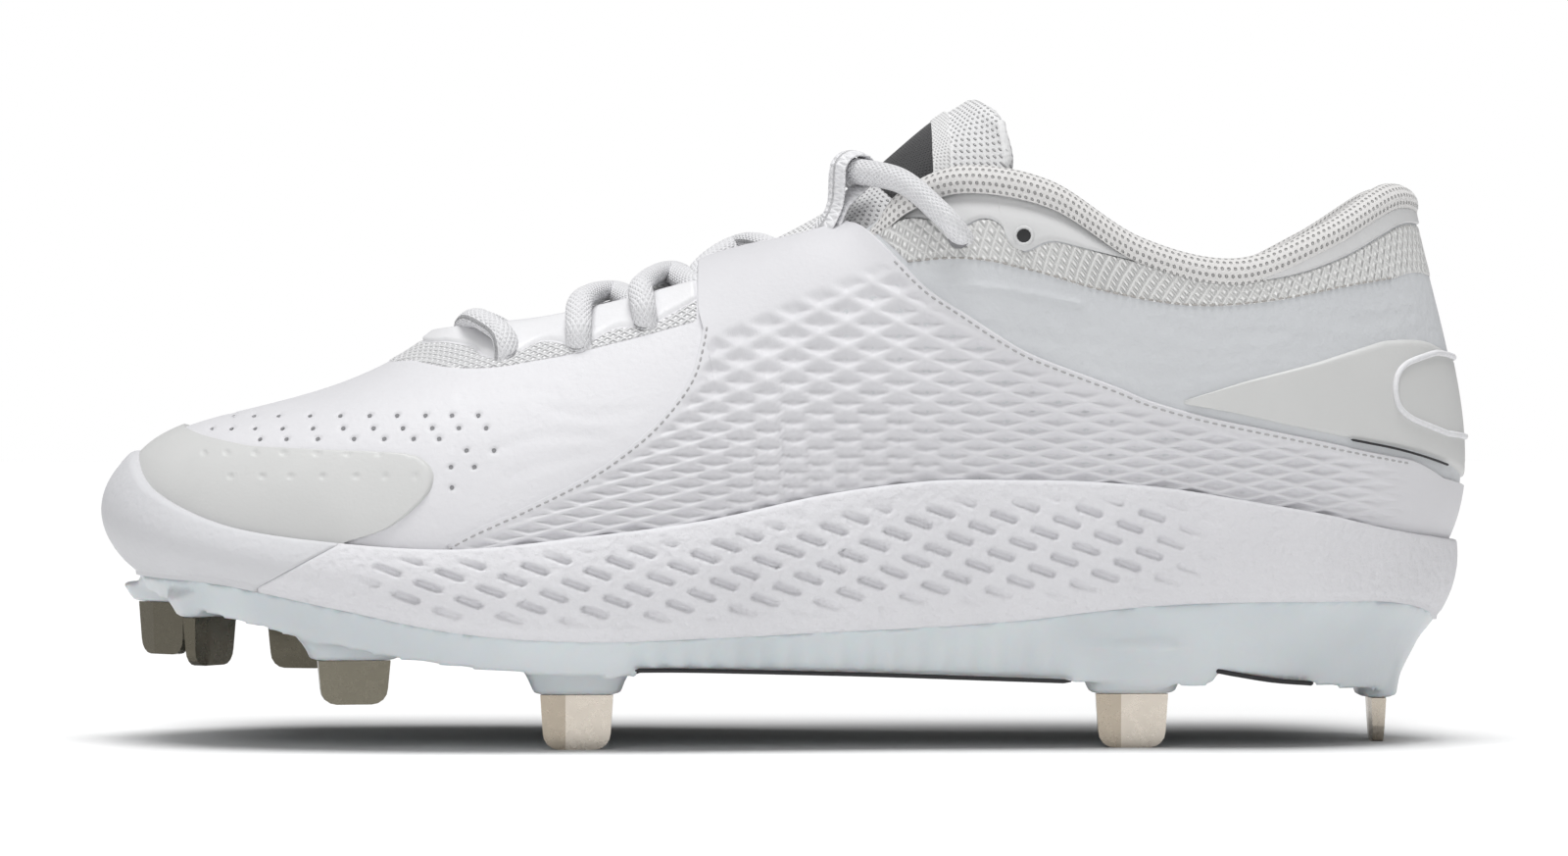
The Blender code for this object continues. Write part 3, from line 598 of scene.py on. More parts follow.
def plate_finish():
    m = Finish("plate", specular_ior_level=0.5, coat_weight=0.15, coat_roughness=0.2,
               subsurface_weight=0.25, subsurface_scale=0.004)
    broad = m.noise(35.0, 2.0)
    fine = m.noise(900.0, 2.0)
    m.color(m.blend(broad.over(0.3, 0.7), rgb(0.575, 0.615, 0.64), rgb(0.65, 0.69, 0.71)))
    m.rough(0.3 + 0.14 * fine)
    m.bump(fine + 2.0 * m.noise(110.0), 0.00012, 0.5)
    return m.mat


def nickel_finish():
    m = Finish("nickel", metallic=1.0)
    brushed = m.noise(500.0, 3.0, 0.6)
    broad = m.noise(90.0, 2.0)
    # Painted light and shade: faces looking towards the heel are lighter than faces looking towards the toe,
    # and the spikes nearest the toe take darker colours as painted shade.
    face = (m.facing() + 0.05 * broad).over(0.0, 0.06)
    lit_facets_nickel = m.blend(face, rgb(0.46, 0.40, 0.325), rgb(0.66, 0.60, 0.525))
    toe_shade_nickel = m.blend(face, rgb(0.12, 0.11, 0.085), rgb(0.20, 0.185, 0.145))
    m.color(m.blend(m.along().over(-0.075, -0.06), toe_shade_nickel, lit_facets_nickel))
    m.rough(0.2 + 0.16 * brushed)
    m.bump(brushed, 0.00008, 0.4)
    return m.mat


def plain_finish(name, color, rough, grain=1200.0, depth=0.0001):
    m = Finish(name)
    fine = m.noise(grain, 3.0)
    m.color(m.blend(fine, color, tuple(c * 0.8 for c in color[:3]) + (1.0,)))
    m.rough(rough + 0.12 * fine)
    m.bump(fine, depth, 0.6)
    return m.mat


LEATHER = leather_finish("leather", rgb(0.73, 0.727, 0.75), rgb(0.70, 0.697, 0.72))
QUILT = leather_finish("quilt", rgb(0.70, 0.697, 0.72), rgb(0.67, 0.667, 0.69), 1100.0, 0.0001)
# The rear quarter: a coarser-grained copy of the leather, painted darker as painted shade on that part of the
# wall.
QUARTER = leather_finish("quarter", rgb(0.635, 0.65, 0.67), rgb(0.60, 0.615, 0.635), 420.0, 0.0007)
GREY_FILM = film_finish("film", rgb(0.645, 0.648, 0.642), rgb(0.615, 0.618, 0.612))
# A lighter copy of the film for the throat: painted light to offset the shade of the laces.
EYESTAY = film_finish("eyestay", rgb(0.80, 0.80, 0.815), rgb(0.76, 0.76, 0.775))
SILVER_FILM = film_finish("silver_film", rgb(0.67, 0.672, 0.675), rgb(0.63, 0.632, 0.635))
KNURL = knurl_finish("knurl", rgb(0.83, 0.83, 0.82), rgb(0.72, 0.72, 0.71))
# A lighter copy of the knurl for the throat: painted light between the laces.
THROAT_WEAVE = knurl_finish("throat_knurl", rgb(0.90, 0.90, 0.91), rgb(0.82, 0.82, 0.83))
FOAM = foam_finish("foam", rgb(0.735, 0.732, 0.757), rgb(0.70, 0.697, 0.722), 0.0005)
GUARD = foam_finish("guard", rgb(0.655, 0.657, 0.678), rgb(0.625, 0.627, 0.648), 0.00022)
COLLAR_MESH = weave_finish("collar_mesh", rgb(0.72, 0.71, 0.70), rgb(0.48, 0.475, 0.47), 1.3, 0.0006)
TONGUE_MESH = weave_finish("tongue_mesh", rgb(0.80, 0.80, 0.805), rgb(0.55, 0.55, 0.56), 1.3, 0.0006)
LINING = weave_finish("lining", rgb(0.66, 0.66, 0.67), rgb(0.5, 0.5, 0.51), 1.6, 0.0004)
LACE = lace_finish()
PLATE = plate_finish()
NICKEL = nickel_finish()
THREAD = plain_finish("thread", rgb(0.83, 0.83, 0.85), 0.6)
DARK_THREAD = plain_finish("dark_thread", rgb(0.44, 0.42, 0.40), 0.7)
SEAM_THREAD = plain_finish("seam_thread", rgb(0.46, 0.455, 0.46), 0.7)
BLACK = plain_finish("black", rgb(0.016, 0.016, 0.018), 0.5)
# Dark grey for the insides of holes: painted shade.
HOLE_SHADE = plain_finish("hole", rgb(0.27, 0.27, 0.28), 0.8)

# Edges seen in the picture
THROAT_WAVE = [(712, 305), (686, 320), (661, 333), (630, 335), (610, 345), (592, 356), (574, 350), (553, 348),
               (536, 356), (515, 366), (495, 363), (482, 353), (454, 348)]
THROAT_KNURL = [(712, 328), (648, 345), (597, 358), (533, 371), (502, 375.5), (456, 375), (418, 368)]
COLLAR_WAVE = [(889, 236), (922, 223), (945, 223), (966, 228), (977, 236), (989, 228), (1001, 223),
               (1014, 224.5), (1024, 233.5), (1027, 243), (1033, 251.5), (1042, 256.5), (1052, 254),
               (1062, 249), (1077, 246), (1114, 255), (1160, 267), (1210, 280), (1264, 287), (1317, 281),
               (1371, 262), (1424, 231)]
COLLAR_KNURL = [(926, 269), (973, 265), (1012, 268), (1037, 274), (1067, 281), (1121, 297), (1174, 308),
                (1217, 313), (1264, 312), (1317, 305), (1371, 294), (1424, 285)]
SADDLE_FRONT = [(454, 557), (482, 542), (533, 519), (599, 486), (650, 450), (681, 419), (704, 386),
                (714, 353), (718, 330), (713, 318), (712, 292), (712, 268)]
SADDLE_STRAP = [(712, 268), (744, 257), (782, 249), (812, 242), (840, 234.5), (862, 227)]
SADDLE_BACK = [(862, 227), (884, 233), (917, 264), (948, 295), (986, 320), (1029, 348), (1062, 365),
               (1141, 395), (1172, 408), (1228, 424), (1284, 436), (1341, 448), (1397, 460), (1439, 468)]
COUNTER_TOP = [(1207, 409), (1270, 389), (1341, 370), (1411, 347)]
COUNTER_LOW = [(1207, 412), (1256, 421), (1313, 434), (1369, 446), (1420, 455)]
BADGE = [(1481, 356), (1453, 363), (1430, 373), (1421, 389), (1423, 412), (1436, 426), (1461, 437),
         (1490, 449)]
TOE_CAP_EDGE = [(350, 552), (373, 547), (399, 537), (424, 518), (440, 500), (443, 482), (432, 468),
                (412, 462), (335, 459), (259, 456)]
RIDGE_SEAM = [(960, 289), (1031, 296), (1103, 310)]
CREASES = [
    ([(505, 458), (560, 444), (622, 448)], 0.16), ([(518, 486), (576, 468), (640, 456)], 0.14),
    ([(548, 412), (598, 424), (652, 418)], 0.12), ([(470, 405), (520, 398), (566, 402)], 0.12),
    ([(1010, 332), (1062, 346), (1120, 352)], 0.15), ([(1180, 330), (1240, 345), (1310, 338)], 0.14),
    ([(1120, 372), (1180, 384), (1240, 380)], 0.12), ([(1330, 318), (1380, 330), (1440, 322)], 0.12)]
COUNTER_GAP_SHADE = [(1376, 448), (1420, 457), (1452, 466), (1474, 474)]
PERFORATIONS = [
    (423, (238, 259, 284, 316, 347, 377, 405, 434, 461, 488)),
    (436, (216, 236, 260, 288, 319, 350, 381, 411, 441, 468, 496)),
    (447, (265, 292, 324, 361, 392, 422, 448)), (459, (476, 504)), (476, (460, 484)), (497, (461,))]
TOE_DIMPLES = [
    (464, (210, 233, 262, 291, 324, 355, 387, 419)),
    (487, (237, 269, 298, 330, 364, 394, 424))]


# How far panels stand off the upper, and the depth of their relief
KNURL_LIFT = 0.25
FILM_LIFT = 0.6
SADDLE_LIFT = 0.95
COUNTER_LIFT = 0.8
TOE_CAP_LIFT = 0.7
TRIM_LIFT = 0.95
QUILT_DEPTH = 0.95
DASH_DEPTH = 1.2
TROUGH_DEPTH = 1.7
QUARTER_FROM = 7.2
ROLL_FROM = 8.2
BADGE_TO = 15.2
HEEL_END = 15.985


def dots(rows):
    return np.array([(x, y) for y, xs in rows for x in xs], float)


def dents(look, spots, radius, depth):
    """Round dents at these pixels."""
    away = np.full(look.shape[:2], 1e9)
    for spot in spots:
        away = np.minimum(away, np.linalg.norm(look - spot, axis=-1))
    return -depth * (1 - ease(0.3 * radius, radius, away))


def collar_trough(u, t):
    """The wall sinks in below the padded roll, most behind the lace."""
    u = fold(u)
    ends = ease(8.3, 8.9, u) * (1 - ease(11.0, 13.0, u))
    return TROUGH_DEPTH * np.exp(-((t - 0.94) / 0.042) ** 2) * ends


def shell_relief(u, t):
    look = side_view(u, t)
    lift = -collar_trough(u, t)
    outer = (u % TURN) < HALF
    lift += np.where(outer, dents(look, dots(PERFORATIONS), 4.0, 0.5), 0.0)
    ridge = far_from(smooth_line(RIDGE_SEAM, 24), look)
    lift += 0.4 * np.exp(-(ridge / 3.0) ** 2)
    for line, depth in CREASES:
        away = far_from(smooth_line(line, 16), look)
        lift += 0.55 * depth * (0.6 * np.exp(-((away - 11) / 6.0) ** 2) - np.exp(-(away / 6.0) ** 2))
    return lift


def build_upper():
    parts = [np.linspace(0, 5, 230, endpoint=False), np.linspace(5, HALF, 170, endpoint=False),
             np.linspace(HALF, 27, 120, endpoint=False), np.linspace(27, TURN, 80, endpoint=False)]
    u = np.concatenate(parts)
    t = np.linspace(0.0, 1.0, 140)
    grid_u, grid_t = np.meshgrid(u, t)
    outer = on_upper(grid_u, grid_t, shell_relief(grid_u, grid_t))
    top = surface(u, np.ones_like(u))
    rise = unit(top - surface(u, np.full_like(u, 0.99)))
    lip = inside(u, np.ones_like(u))
    thick = wall(u, 1.0)[:, None]
    crown = [top * 0.85 + lip * 0.15 + rise * thick * 0.18, 0.5 * (top + lip) + rise * thick * 0.3,
             top * 0.15 + lip * 0.85 + rise * thick * 0.18]
    inner_t = np.linspace(1.0, 0.0, 14)
    inner_u, inner_t = np.meshgrid(u, inner_t)
    inner = inside(inner_u, inner_t)
    verts = np.concatenate([outer, np.array(crown), inner])
    look = side_view(grid_u, grid_t) * PIXEL_MM
    side = np.concatenate([look, np.repeat(look[-1:], 3, 0), side_view(inner_u, inner_t) * PIXEL_MM])
    rows = len(verts)
    item = new_piece("upper_shell", verts, grid_faces(rows, len(u), wrap=True), LEATHER, side)
    item.data.materials.append(LINING)
    item.data.materials.append(QUARTER)
    which = np.zeros(len(item.data.polygons), int)
    which[(len(t) + 2) * len(u):] = 1
    which[:(len(t) + 2) * len(u)] = np.tile(np.where(fold(u) > QUARTER_FROM, 2, 0), len(t) + 2)
    item.data.polygons.foreach_set("material_index", which)
    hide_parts("upper")


def ring_line(points, middle, count, heel=True, smooth=True):
    """An edge from the outer side round the heel or the toe to the inner side."""
    half = edge_line(points, count, smooth)
    half = np.concatenate([half, [middle]])
    half = even_places(half, count)
    back = other_side(half[:-1])[::-1]
    if not heel:
        back[:, 0] -= TURN
    return np.concatenate([half, back])


def build_rim():
    throat = ring_line(THROAT_WAVE, (0.0, 0.972), 150, heel=False)
    low = ring_line(THROAT_KNURL, (0.0, 0.893), 150, heel=False)
    top = np.stack([throat[:, 0], np.full(len(throat), 1.0)], -1)
    panel("throat_knurl", low, throat, 18, KNURL_LIFT, THROAT_WEAVE, pattern=top_pattern)
    panel("eyestay", throat, top, 12, FILM_LIFT, EYESTAY)
    wave = ring_line(COLLAR_WAVE, (HALF, 0.925), 260)
    low = ring_line(COLLAR_KNURL, (HALF, 0.79), 260)
    behind = ease(8.9, 9.7, np.minimum(wave[:, 0], TURN - wave[:, 0]))
    top = np.stack([wave[:, 0], 0.985 - 0.033 * behind], -1)
    panel("collar_knurl", low, wave, 22, KNURL_LIFT, KNURL, pattern=ring_pattern)
    f = np.linspace(0, 1, 20)[:, None]
    dip = collar_trough(wave[:, 0] * (1 - f) + top[:, 0] * f, wave[:, 1] * (1 - f) + top[:, 1] * f)
    panel("collar_film", wave, top, 20, FILM_LIFT, SILVER_FILM, lambda look: -dip, tuck=-0.1)


def build_collar_roll():
    """The padded mesh roll along the top of the collar."""
    u = np.linspace(ROLL_FROM, TURN - ROLL_FROM, 420)
    top = surface(u, np.ones_like(u))
    lip = inside(u, np.ones_like(u))
    rise = unit(top - surface(u, np.full_like(u, 0.97)))
    out = unit(top - lip)
    ends = ease(0.0, 0.5, u - ROLL_FROM) * ease(0.0, 0.5, TURN - ROLL_FROM - u)
    half = 0.5 * wall(u, 1.0) + 0.55 + 0.75 * ends
    mid = 0.5 * (top + lip) - rise * 2.0
    a = np.radians(np.linspace(-55, 235, 26))
    verts = (mid[None] + out[None] * (np.cos(a)[:, None] * half[None])[..., None]
             + rise[None] * (np.sin(a)[:, None] * (1.4 + 2.1 * ends)[None])[..., None])
    side = np.stack(np.broadcast_arrays(distances(top)[None], (a * 3.0)[:, None]), -1)
    item = new_piece("collar_roll", verts, grid_faces(len(a), len(u)), COLLAR_MESH, side)


def quilt_relief(look):
    """Sunken diamonds that grow smaller towards the sole and fade at the edges."""
    x, y = look[..., 0], look[..., 1]
    k = np.clip((y - 300) / 180, -0.4, 1.0)
    high = 28 - 13 * k
    v = -(180 / 13.0) * np.log(high) + np.maximum(y - 480, 0) / 15 + np.minimum(y - 228, 0) / 33.2
    a = x / 54.0 + v
    b = x / 54.0 - v
    da = np.abs(a - np.round(a)) * 2
    db = np.abs(b - np.round(b)) * 2
    pit = ease(0.06, 0.75, np.minimum(da, db))
    band = (y - 334) - (269 - 334) / (892 - 726.0) * (x - 726)
    fade = ease(2, 22, band) * (1 - ease(1330, 1450, x))
    for line in (SADDLE_FRONT[:9], SADDLE_BACK):
        fade = fade * ease(6.0, 19.2, far_from(line, look))
    return -QUILT_DEPTH * pit * fade


def rim_line(u, rise):
    return np.stack([u, height_on_upper(u, section(u)[..., KEY["line"]] + rise)], -1)


def build_saddle():
    count = 400
    front = edge_line(SADDLE_FRONT, 140)
    strap = edge_line(SADDLE_STRAP, 40)
    back = edge_line(SADDLE_BACK, 200)
    top = np.concatenate([front, strap[1:], back[1:], [(15.0, 0.262), (HEEL_END, 0.245)]])
    top = even_places(top, count)
    low = even_places(rim_line(np.linspace(front[0, 0] + 0.06, HEEL_END, 120), -1.0), count)
    for name, flipped in (("saddle_panel_outer", False), ("saddle_panel_inner", True)):
        item = panel(name, low, top, 110, SADDLE_LIFT, QUILT, quilt_relief, flipped=flipped)
        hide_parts("saddle_inner" if flipped else "saddle_outer")


def edge_cords(name, ut, radius, mat, taper=0.0, upright=False):
    """A thin cord along an edge of the upper, on both sides of the shoe."""
    for end, line in (("outer", ut), ("inner", other_side(ut))):
        u, t = line[:, 0], line[:, 1]
        lean = normal(u, t) if upright else None
        cord_along("%s_%s" % (name, end), on_upper(u, t, np.full(len(u), TRIM_LIFT)), radius, mat,
                   lean=lean, taper=taper)


def build_counter():
    top = ring_line(COUNTER_TOP, (HALF, 0.585), 90, smooth=False)
    low = ring_line(COUNTER_LOW, (HALF, 0.262), 90, smooth=False)
    item = panel("heel_counter_panel", low, top, 40, COUNTER_LIFT, GREY_FILM)
    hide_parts("heel_counter")
    # A thin black cord along the counter's lower edge: painted shade in the gap between the counter and the
    # saddle.
    edge_cords("counter_gap_shade", edge_line(COUNTER_GAP_SHADE, 60), 0.24, BLACK, taper=0.2)
    half = edge_line(BADGE, 60)
    half = half[half[:, 0] < BADGE_TO]
    crest = np.concatenate([[(HALF, half[0, 1])], half, [(HALF, half[-1, 1])]])
    edge_cords("badge_cord", even_places(crest, 110), 0.62, THREAD, upright=True)


def build_toe_cap():
    edge = ring_line(TOE_CAP_EDGE, (0.0, 0.42), 170, heel=False)
    start = edge[0, 0]
    u = np.linspace(start, -start, len(edge))
    low = np.stack([u, height_on_upper(u % TURN, section(u)[..., KEY["line"]] - 1.0)], -1)
    spots = dots(TOE_DIMPLES)
    item = panel("toe_cap_panel", low, edge, 70, TOE_CAP_LIFT, GREY_FILM,
                 lambda look: dents(look, spots, 4.5, 0.3))
    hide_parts("toe_cap")


# Sole
DASH_A = np.array([22.4, -11.2])
DASH_B = np.array([42.0, 16.2])
DASH_AT = np.array([893.0, 556.0])


def dash_relief(look, f):
    """Slanted slots pressed into the foam."""
    grid = np.linalg.inv(np.stack([DASH_A, DASH_B], -1))
    at = np.rint((look - DASH_AT) @ grid.T)
    run = np.array([0.944, 0.33])
    best = np.full(look.shape[:2], 9.0)
    for i in (-1, 0, 1):
        for j in (-1, 0, 1):
            away = look - DASH_AT - (at[..., [0]] + i) * DASH_A - (at[..., [1]] + j) * DASH_B
            long = away @ run
            wide = away @ np.array([-run[1], run[0]])
            best = np.minimum(best, np.hypot(np.maximum(np.abs(long) - 10.5, 0) / 3.6, wide / 3.6))
    x = look[..., 0]
    fade = ease(345, 420, x) * (1 - ease(1150, 1260, x)) * ease(0.06, 0.3, f) * (1 - ease(0.76, 0.9, f))
    return -DASH_DEPTH * (1 - ease(0.62, 1.3, best)) * fade


def seam_place(f):
    """Where the guard seam crosses the foam side at each height f."""
    low, high = np.array(GUARD_SEAM_LOW), np.array(GUARD_SEAM_HIGH)
    along = (high - low) / np.linalg.norm(high - low)
    first, last = np.full_like(f, 0.8), np.full_like(f, 5.0)
    for _ in range(30):
        mid = 0.5 * (first + last)
        p = cup_side(mid, f)
        ahead = -(p[..., 0] - low[0]) * along[1] + (p[..., 2] - low[1]) * along[0]
        first, last = np.where(ahead > 0, mid, first), np.where(ahead > 0, last, mid)
    return 0.5 * (first + last)


def foam_wall(name, u, f, relief, mat, node):
    """A stretch of the foam cup with its rolled lip and turned-in foot."""
    side = cup_side(u, f)
    out = outward(u)
    look = seen(cup_side(fold(u), f))
    if relief is not None:
        side = side + out * relief(look, f)[..., None]
    side = side - out * (0.25 * (1 - ease(0.0, 0.09, f)))[..., None]
    lap = side[0] - out[0] * 0.08 - UP * 0.8
    foot = np.array([lap - out[0] * 4.0, lap])
    edge = u[-1]
    line = section(edge)[..., KEY["line"]]
    inner = on_upper(edge, height_on_upper(edge, line), np.full(edge.shape, 0.25))
    inner[..., 2] = line
    corner = cup_side(edge, np.ones_like(edge)) + UP * 0.25
    lip = [side[-1] * (1 - k) ** 2 + corner * 2 * k * (1 - k) + inner * k * k for k in (0.25, 0.5, 0.75, 1.0)]
    drop = inner - UP * 2.5
    verts = np.concatenate([foot, side, np.array(lip), drop[None]])
    for end in (0, -1):
        verts[1:-1, end] -= out[0, end] * 0.35
    looks = np.concatenate([look[:1], look[:1], look, np.repeat(look[-1:], 5, 0)])
    item = new_piece(name, verts, grid_faces(*verts.shape[:2]), mat, looks * PIXEL_MM)
    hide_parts(node)


def build_foam():
    f = np.linspace(0.0, 0.97, 70)[:, None]
    seam = seam_place(f)
    share = np.concatenate([np.linspace(0, 0.5, 560, endpoint=False), np.linspace(0.5, 1, 340)])[None]
    u = seam + 0.0015 + (TURN - 2 * seam - 0.003) * share
    foam_wall("foam_wall", u, np.broadcast_to(f, u.shape), dash_relief, FOAM, "midsole")
    share = np.linspace(-1, 1, 260)[None]
    u = (seam - 0.0015) * share
    foam_wall("toe_bumper", u, np.broadcast_to(f, u.shape), None, GUARD, "toe_guard")


def solid_copy(node, name, mat, voxel, rounds):
    """A finer, softly rounded copy of a solid."""
    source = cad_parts[node]
    item = add_item(name, source.data.copy())
    item.matrix_world = source.matrix_world.copy()
    step = item.modifiers.new("even", "REMESH")
    step.mode = "VOXEL"
    step.voxel_size = voxel
    soft = item.modifiers.new("soft", "SMOOTH")
    soft.factor = 0.5
    soft.iterations = rounds
    bpy.context.view_layer.update()
    got = bpy.data.meshes.new_from_object(item.evaluated_get(bpy.context.evaluated_depsgraph_get()))
    got.transform(item.matrix_world)
    bpy.data.objects.remove(item)
    done = add_item(name, got)
    got.materials.clear()
    got.materials.append(mat)
    got.polygons.foreach_set("use_smooth", np.ones(len(got.polygons), bool))
    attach(done, "root")
    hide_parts(node)
    return done


ARCH_EDGE = [(648, 684), (700, 684), (800, 686), (902, 688.5), (1004, 692), (1093, 695)]
# Lower edge behind the heel spikes; the dark cord drawn along it is painted shade in the heel's hollow.
HEEL_SHADE_EDGE = [(1241, 684), (1262, 688), (1300, 694), (1340, 697)]


def lower_edge(edge):
    """Places x and z of the plate's lower edge, seen at these pixels."""
    scale = (CAMERA_BACK - 33.0) / FOCAL
    x, y = np.array(edge).T
    return (x - 800) * scale, CAMERA_RISE - (y - 436.5) * scale


def trim_underside(mesh):
    """Brings the underside to the lower edge between the pods."""
    spots = np.zeros(len(mesh.vertices) * 3)
    mesh.vertices.foreach_get("co", spots)
    spots = spots.reshape(-1, 3) / MM
    for edge in (ARCH_EDGE, HEEL_SHADE_EDGE):
        x, z = lower_edge(edge)
        within = ease(x[0] - 1.0, x[0] + 1.5, spots[:, 0]) * (1 - ease(x[-1] - 1.5, x[-1] + 1.0, spots[:, 0]))
        gap = np.interp(spots[:, 0], x, z) - spots[:, 2]
        spots[:, 2] += within * np.where(gap > -1.1, gap, 0.0)
    mesh.vertices.foreach_set("co", (spots * MM).ravel())
    mesh.update()


def build_plate():
    item = solid_copy("outsole", "sole_plate", PLATE, 0.00095, 6)
    mesh = item.data
    mesh.materials.append(BLACK)
    trim_underside(mesh)
    count = len(mesh.polygons)
    mid, facing = np.zeros(count * 3), np.zeros(count * 3)
    mesh.polygons.foreach_get("center", mid)
    mesh.polygons.foreach_get("normal", facing)
    mid = mid.reshape(-1, 3) / MM
    x, z = lower_edge(ARCH_EDGE)
    low = mid[:, 2] < np.interp(mid[:, 0], x, z) + 0.4
    dark = (mid[:, 0] > x[0]) & (mid[:, 0] < x[-1]) & low & (facing.reshape(-1, 3)[:, 2] < -0.85)
    mesh.polygons.foreach_set("material_index", dark.astype(int))
    build_dark_edge()


def plate_foot(u, inset):
    """Lower side of the plate, set in from the foot of the foam."""
    row = section(np.array(u))
    return row[0:3] + outward(np.array(u)) * (row[KEY["foot"]] - inset)


def build_dark_edge():
    """Dark underside of the plate, seen as a thin edge below the arch; behind the heel spikes a dark cord is
    painted shade in the hollow of the heel.
    """
    for name, edge, inset, thick in (("arch_edge", ARCH_EDGE, 3.6, 0.45), ("heel_hollow_shade", HEEL_SHADE_EDGE, 4.4, 0.5)):
        rows = []
        for x, y in smooth_line(edge, 60):
            u = 8.0
            for _ in range(12):
                spot = plate_foot(u, inset)
                u += (x - seen(spot)[0]) / 92.0
            z = CAMERA_RISE - (y - 436.5) * (spot[1] + CAMERA_BACK) / FOCAL
            rows.append([(p[0], p[1], z) for p in (spot, plate_foot(TURN - u, inset))])
        for end, side in (("outer", 0), ("inner", 1)):
            line = np.array(rows)[:, side]
            cord_along("%s_%s" % (name, end), line, thick, BLACK, sides=10, taper=0.3)


def build_spikes():
    for name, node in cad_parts.items():
        if not name.startswith("spike_"):
            continue
        node.data.materials.clear()
        node.data.materials.append(NICKEL)
        soft = node.modifiers.new("worn_edge", "BEVEL")
        soft.width = 0.0004
        soft.segments = 2
        soft.limit_method = "ANGLE"


# Tongue and laces
TONGUE_THROAT = [(1.7, -75.5, 77.0), (2.6, -69.0, 80.6), (3.4, -60.0, 83.6), (4.2, -47.0, 86.6),
                 (5.0, -34.0, 90.0), (5.8, -20.5, 94.6), (6.6, -7.5, 99.6), (7.4, 4.0, 105.2)]
TONGUE_FREE = [(13.0, 110.8, 19.3, 7.5, 10.2), (21.0, 118.0, 20.3, 14.0, 11.6),
               (30.0, 125.6, 20.0, 13.5, 9.5), (37.4, 130.4, 16.5, 5.5, 5.5)]
TONGUE_ROWS = len(TONGUE_THROAT) + len(TONGUE_FREE) - 1
TONGUE_EDGES = np.array([0.88, 0.94, 1.0])
LACE_CLEAR = 2.7
LACE_REST = 2.15
WHOLE_WIDTH = -500.0
EYELETS = [(519, 356), (592, 347), (659, 325), (735, 290)]
TOP_EYELET = (977, 235)
SPARE_EYELET = (1045, 241)


def tongue_grid(across):
    lines = []
    for u, x, z in TONGUE_THROAT:
        outer = inside(np.full(3, u), TONGUE_EDGES, 1.0)
        inner = inside(np.full(3, TURN - u), TONGUE_EDGES[::-1], 1.0)
        lines.append(smooth_line(np.concatenate([outer, [(x, 0.0, z)], inner]), across))
    for x, z, half, back, drop in TONGUE_FREE:
        f = np.array([-1.0, -0.78, -0.54, 0.0, 0.54, 0.78, 1.0])
        lines.append(smooth_line(np.stack([x + back * f * f, half * f, z - drop * f * f], -1), across))
    return np.array(lines)


def grid_normal(grid):
    return unit(np.cross(np.gradient(grid, axis=0), np.gradient(grid, axis=1)))


def build_tongue():
    """A pad with a rounded rim, thicker where it stands free."""
    across, along = 61, 90
    coarse = tongue_grid(across)
    grid = np.stack([smooth_line(coarse[:, c], along) for c in range(across)], 1)
    n = grid_normal(grid)
    r = np.linspace(0, TONGUE_ROWS, along)[:, None]
    edge = np.abs(np.linspace(-1, 1, across))[None]
    thick = 4.0 + 4.0 * ease(7.0, 10.0, r)
    thick = thick * (1 - 0.55 * ease(0.6, 1.0, edge)) * (1 - 0.4 * ease(10.0, 11.0, r))
    count = across * along
    faces = [grid_faces(along, across), grid_faces(along, across, start=count)[:, ::-1]]
    rim = np.concatenate([np.arange(across), np.arange(1, along) * across + across - 1,
                          (along - 1) * across + np.arange(across - 2, -1, -1),
                          np.arange(along - 2, 0, -1) * across])
    flat_top, flat_low = grid.reshape(-1, 3), (grid - n * thick[..., None]).reshape(-1, 3)
    edge_out = []
    for index in rim:
        row, col = divmod(int(index), across)
        step = np.zeros(3)
        if row in (0, along - 1):
            step += grid[row, col] - grid[row - 1 if row else 1, col]
        if col in (0, across - 1):
            step += grid[row, col] - grid[row, col - 1 if col else 1]
        edge_out.append(unit(step))
    edge_out = np.array(edge_out)
    a, b = flat_top[rim], flat_low[rim]
    bead = 0.5 * np.linalg.norm(a - b, axis=1, keepdims=True)
    rings = [0.5 * (a + b) + (a - b) * 0.5 * math.cos(k) + edge_out * bead * math.sin(k) * 0.8
             for k in (math.pi / 4, math.pi / 2, 3 * math.pi / 4)]
    chain = [rim] + [2 * count + k * len(rim) + np.arange(len(rim)) for k in range(3)] + [count + rim]
    for one, two in zip(chain, chain[1:]):
        faces.append(np.stack([one, two, np.roll(two, -1), np.roll(one, -1)], -1))
    verts = np.concatenate([flat_top, flat_low] + rings)
    side = np.stack([verts[:, 1], verts[:, 2] + verts[:, 0]], -1)
    item = new_piece("tongue_pad", verts, np.concatenate(faces), TONGUE_MESH, side)
    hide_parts("tongue")
    dress_tongue(grid, n)
    return grid, n


